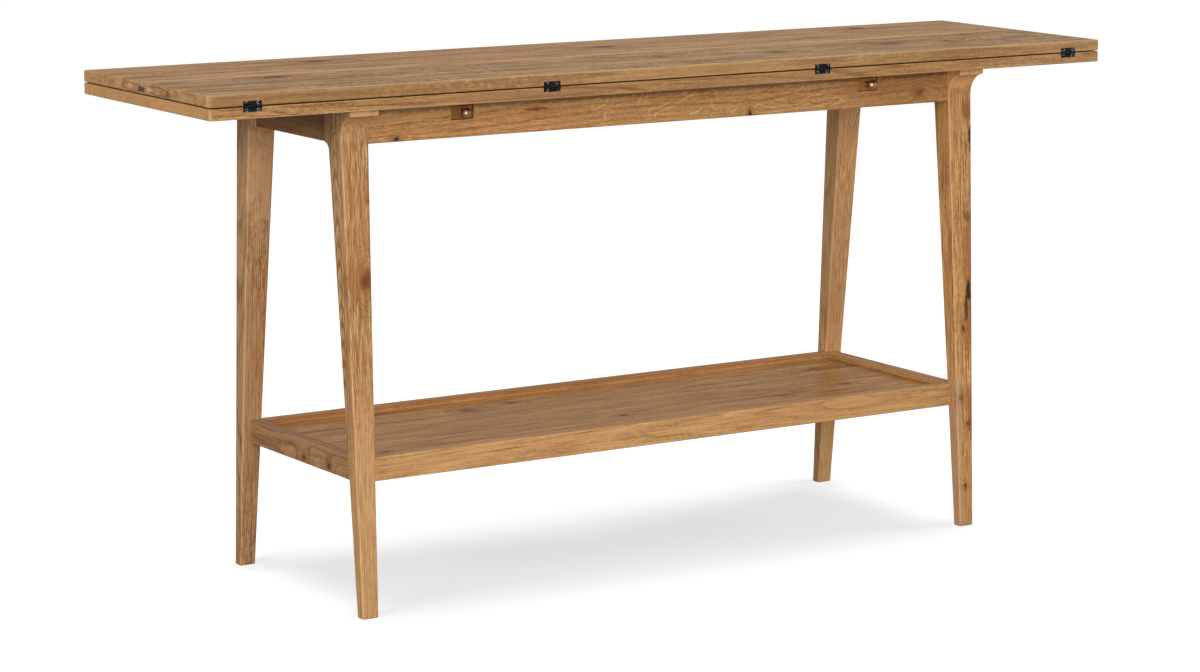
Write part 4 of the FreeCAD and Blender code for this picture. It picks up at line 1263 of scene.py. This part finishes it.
def shadow_under(tree, out, y):
    """Painted shadow: 1 where the floor lies under the table's soft shadow, fading to 0 outside
    it.
    """
    sides = spread(tree, out, 0.45, 0.60, 1, 0)
    front = spread(tree, y, -0.38, -0.12)
    rear_from = scaled(tree, out, 0.33, -0.03)
    rear_to = scaled(tree, out, -0.07, 0.33)
    rear = spread(tree, y, rear_from, rear_to, 1, 0)
    return times(tree, times(tree, sides, front), rear)


def shader(tree, kind, colour, strength=None):
    """Plain shader of one colour."""
    node = tree.nodes.new("ShaderNode" + kind)
    node.inputs["Color"].default_value = colour
    if strength is not None:
        node.inputs["Strength"].default_value = strength
    return node


def show_one(tree, unseen, seen, output_kind):
    """Ends a tree with one shader for the camera and another for all other light."""
    choose = tree.nodes.new("ShaderNodeMixShader")
    output = tree.nodes.new(output_kind)
    feed(tree, choose.inputs[0], seen_straight(tree))
    tree.links.new(unseen.outputs[0], choose.inputs[1])
    tree.links.new(seen.outputs[0], choose.inputs[2])
    tree.links.new(choose.outputs[0], output.inputs["Surface"])


def lay_floor():
    """Pale floor that reads as white round the table's soft shadow, which is partly real and
    partly painted into the floor's glow.
    """
    bpy.ops.object.select_all(action="DESELECT")
    bpy.ops.mesh.primitive_plane_add(size=FLOOR_WIDTH)
    floor = bpy.context.object
    floor.name = "studio_floor"
    material = bpy.data.materials.new("pale_floor")
    material.use_nodes = True
    tree = material.node_tree
    tree.nodes.clear()
    paint = shader(tree, "BsdfDiffuse", FLOOR_PAINT)
    shade = shader(tree, "BsdfDiffuse", FLOOR_SHADE)
    glow = shader(tree, "Emission", WHITE)
    place = tree.nodes.new("ShaderNodeTexCoord").outputs["Object"]
    x, y, _ = split(tree, place)
    out = size_of(tree, x)
    under = shadow_under(tree, out, y)
    foot_x = minus(tree, out, FOOT_X)
    foot_y = minus(tree, size_of(tree, y), FOOT_Y)
    to_foot = vector(tree, "LENGTH", build(tree, foot_x, foot_y, 0.0))
    # Painted shadow round each foot.
    feet = spread(tree, to_foot, 0.02, 0.07, FOOT_SHADOW, 0)
    bright = scaled(tree, under, -SHADOW_DEPTH, FLOOR_GLOW)
    feed(tree, glow.inputs["Strength"], minus(tree, bright, feet))
    white = tree.nodes.new("ShaderNodeAddShader")
    tree.links.new(shade.outputs[0], white.inputs[0])
    tree.links.new(glow.outputs[0], white.inputs[1])
    show_one(tree, paint, white, "ShaderNodeOutputMaterial")
    floor.data.materials.append(material)


def light_room():
    """White background and an even fill from all round."""
    world = bpy.data.worlds.new("studio_room")
    bpy.context.scene.world = world
    world.use_nodes = True
    tree = world.node_tree
    tree.nodes.clear()
    fill = shader(tree, "Background", WHITE, ROOM_FILL)
    white = shader(tree, "Background", WHITE, 1.0)
    show_one(tree, fill, white, "ShaderNodeOutputWorld")


def hang_softbox(name, place, aim, side, power):
    """Square soft light that faces a point."""
    data = bpy.data.lights.new(name, "AREA")
    data.shape = "RECTANGLE"
    data.size = side
    data.size_y = side
    data.energy = power
    lamp = bpy.data.objects.new(name, data)
    bpy.context.scene.collection.objects.link(lamp)
    lamp.location = place
    lamp.rotation_euler = (Vector(aim) - Vector(place)).to_track_quat("-Z", "Y").to_euler()


place_camera()
finish_top()
finish_aprons()
finish_legs()
finish_shelf()
finish_lopers()
finish_fittings()
lay_floor()
light_room()
for softbox in SOFTBOXES:
    hang_softbox(*softbox)
bpy.context.scene.view_settings.view_transform = "Standard"
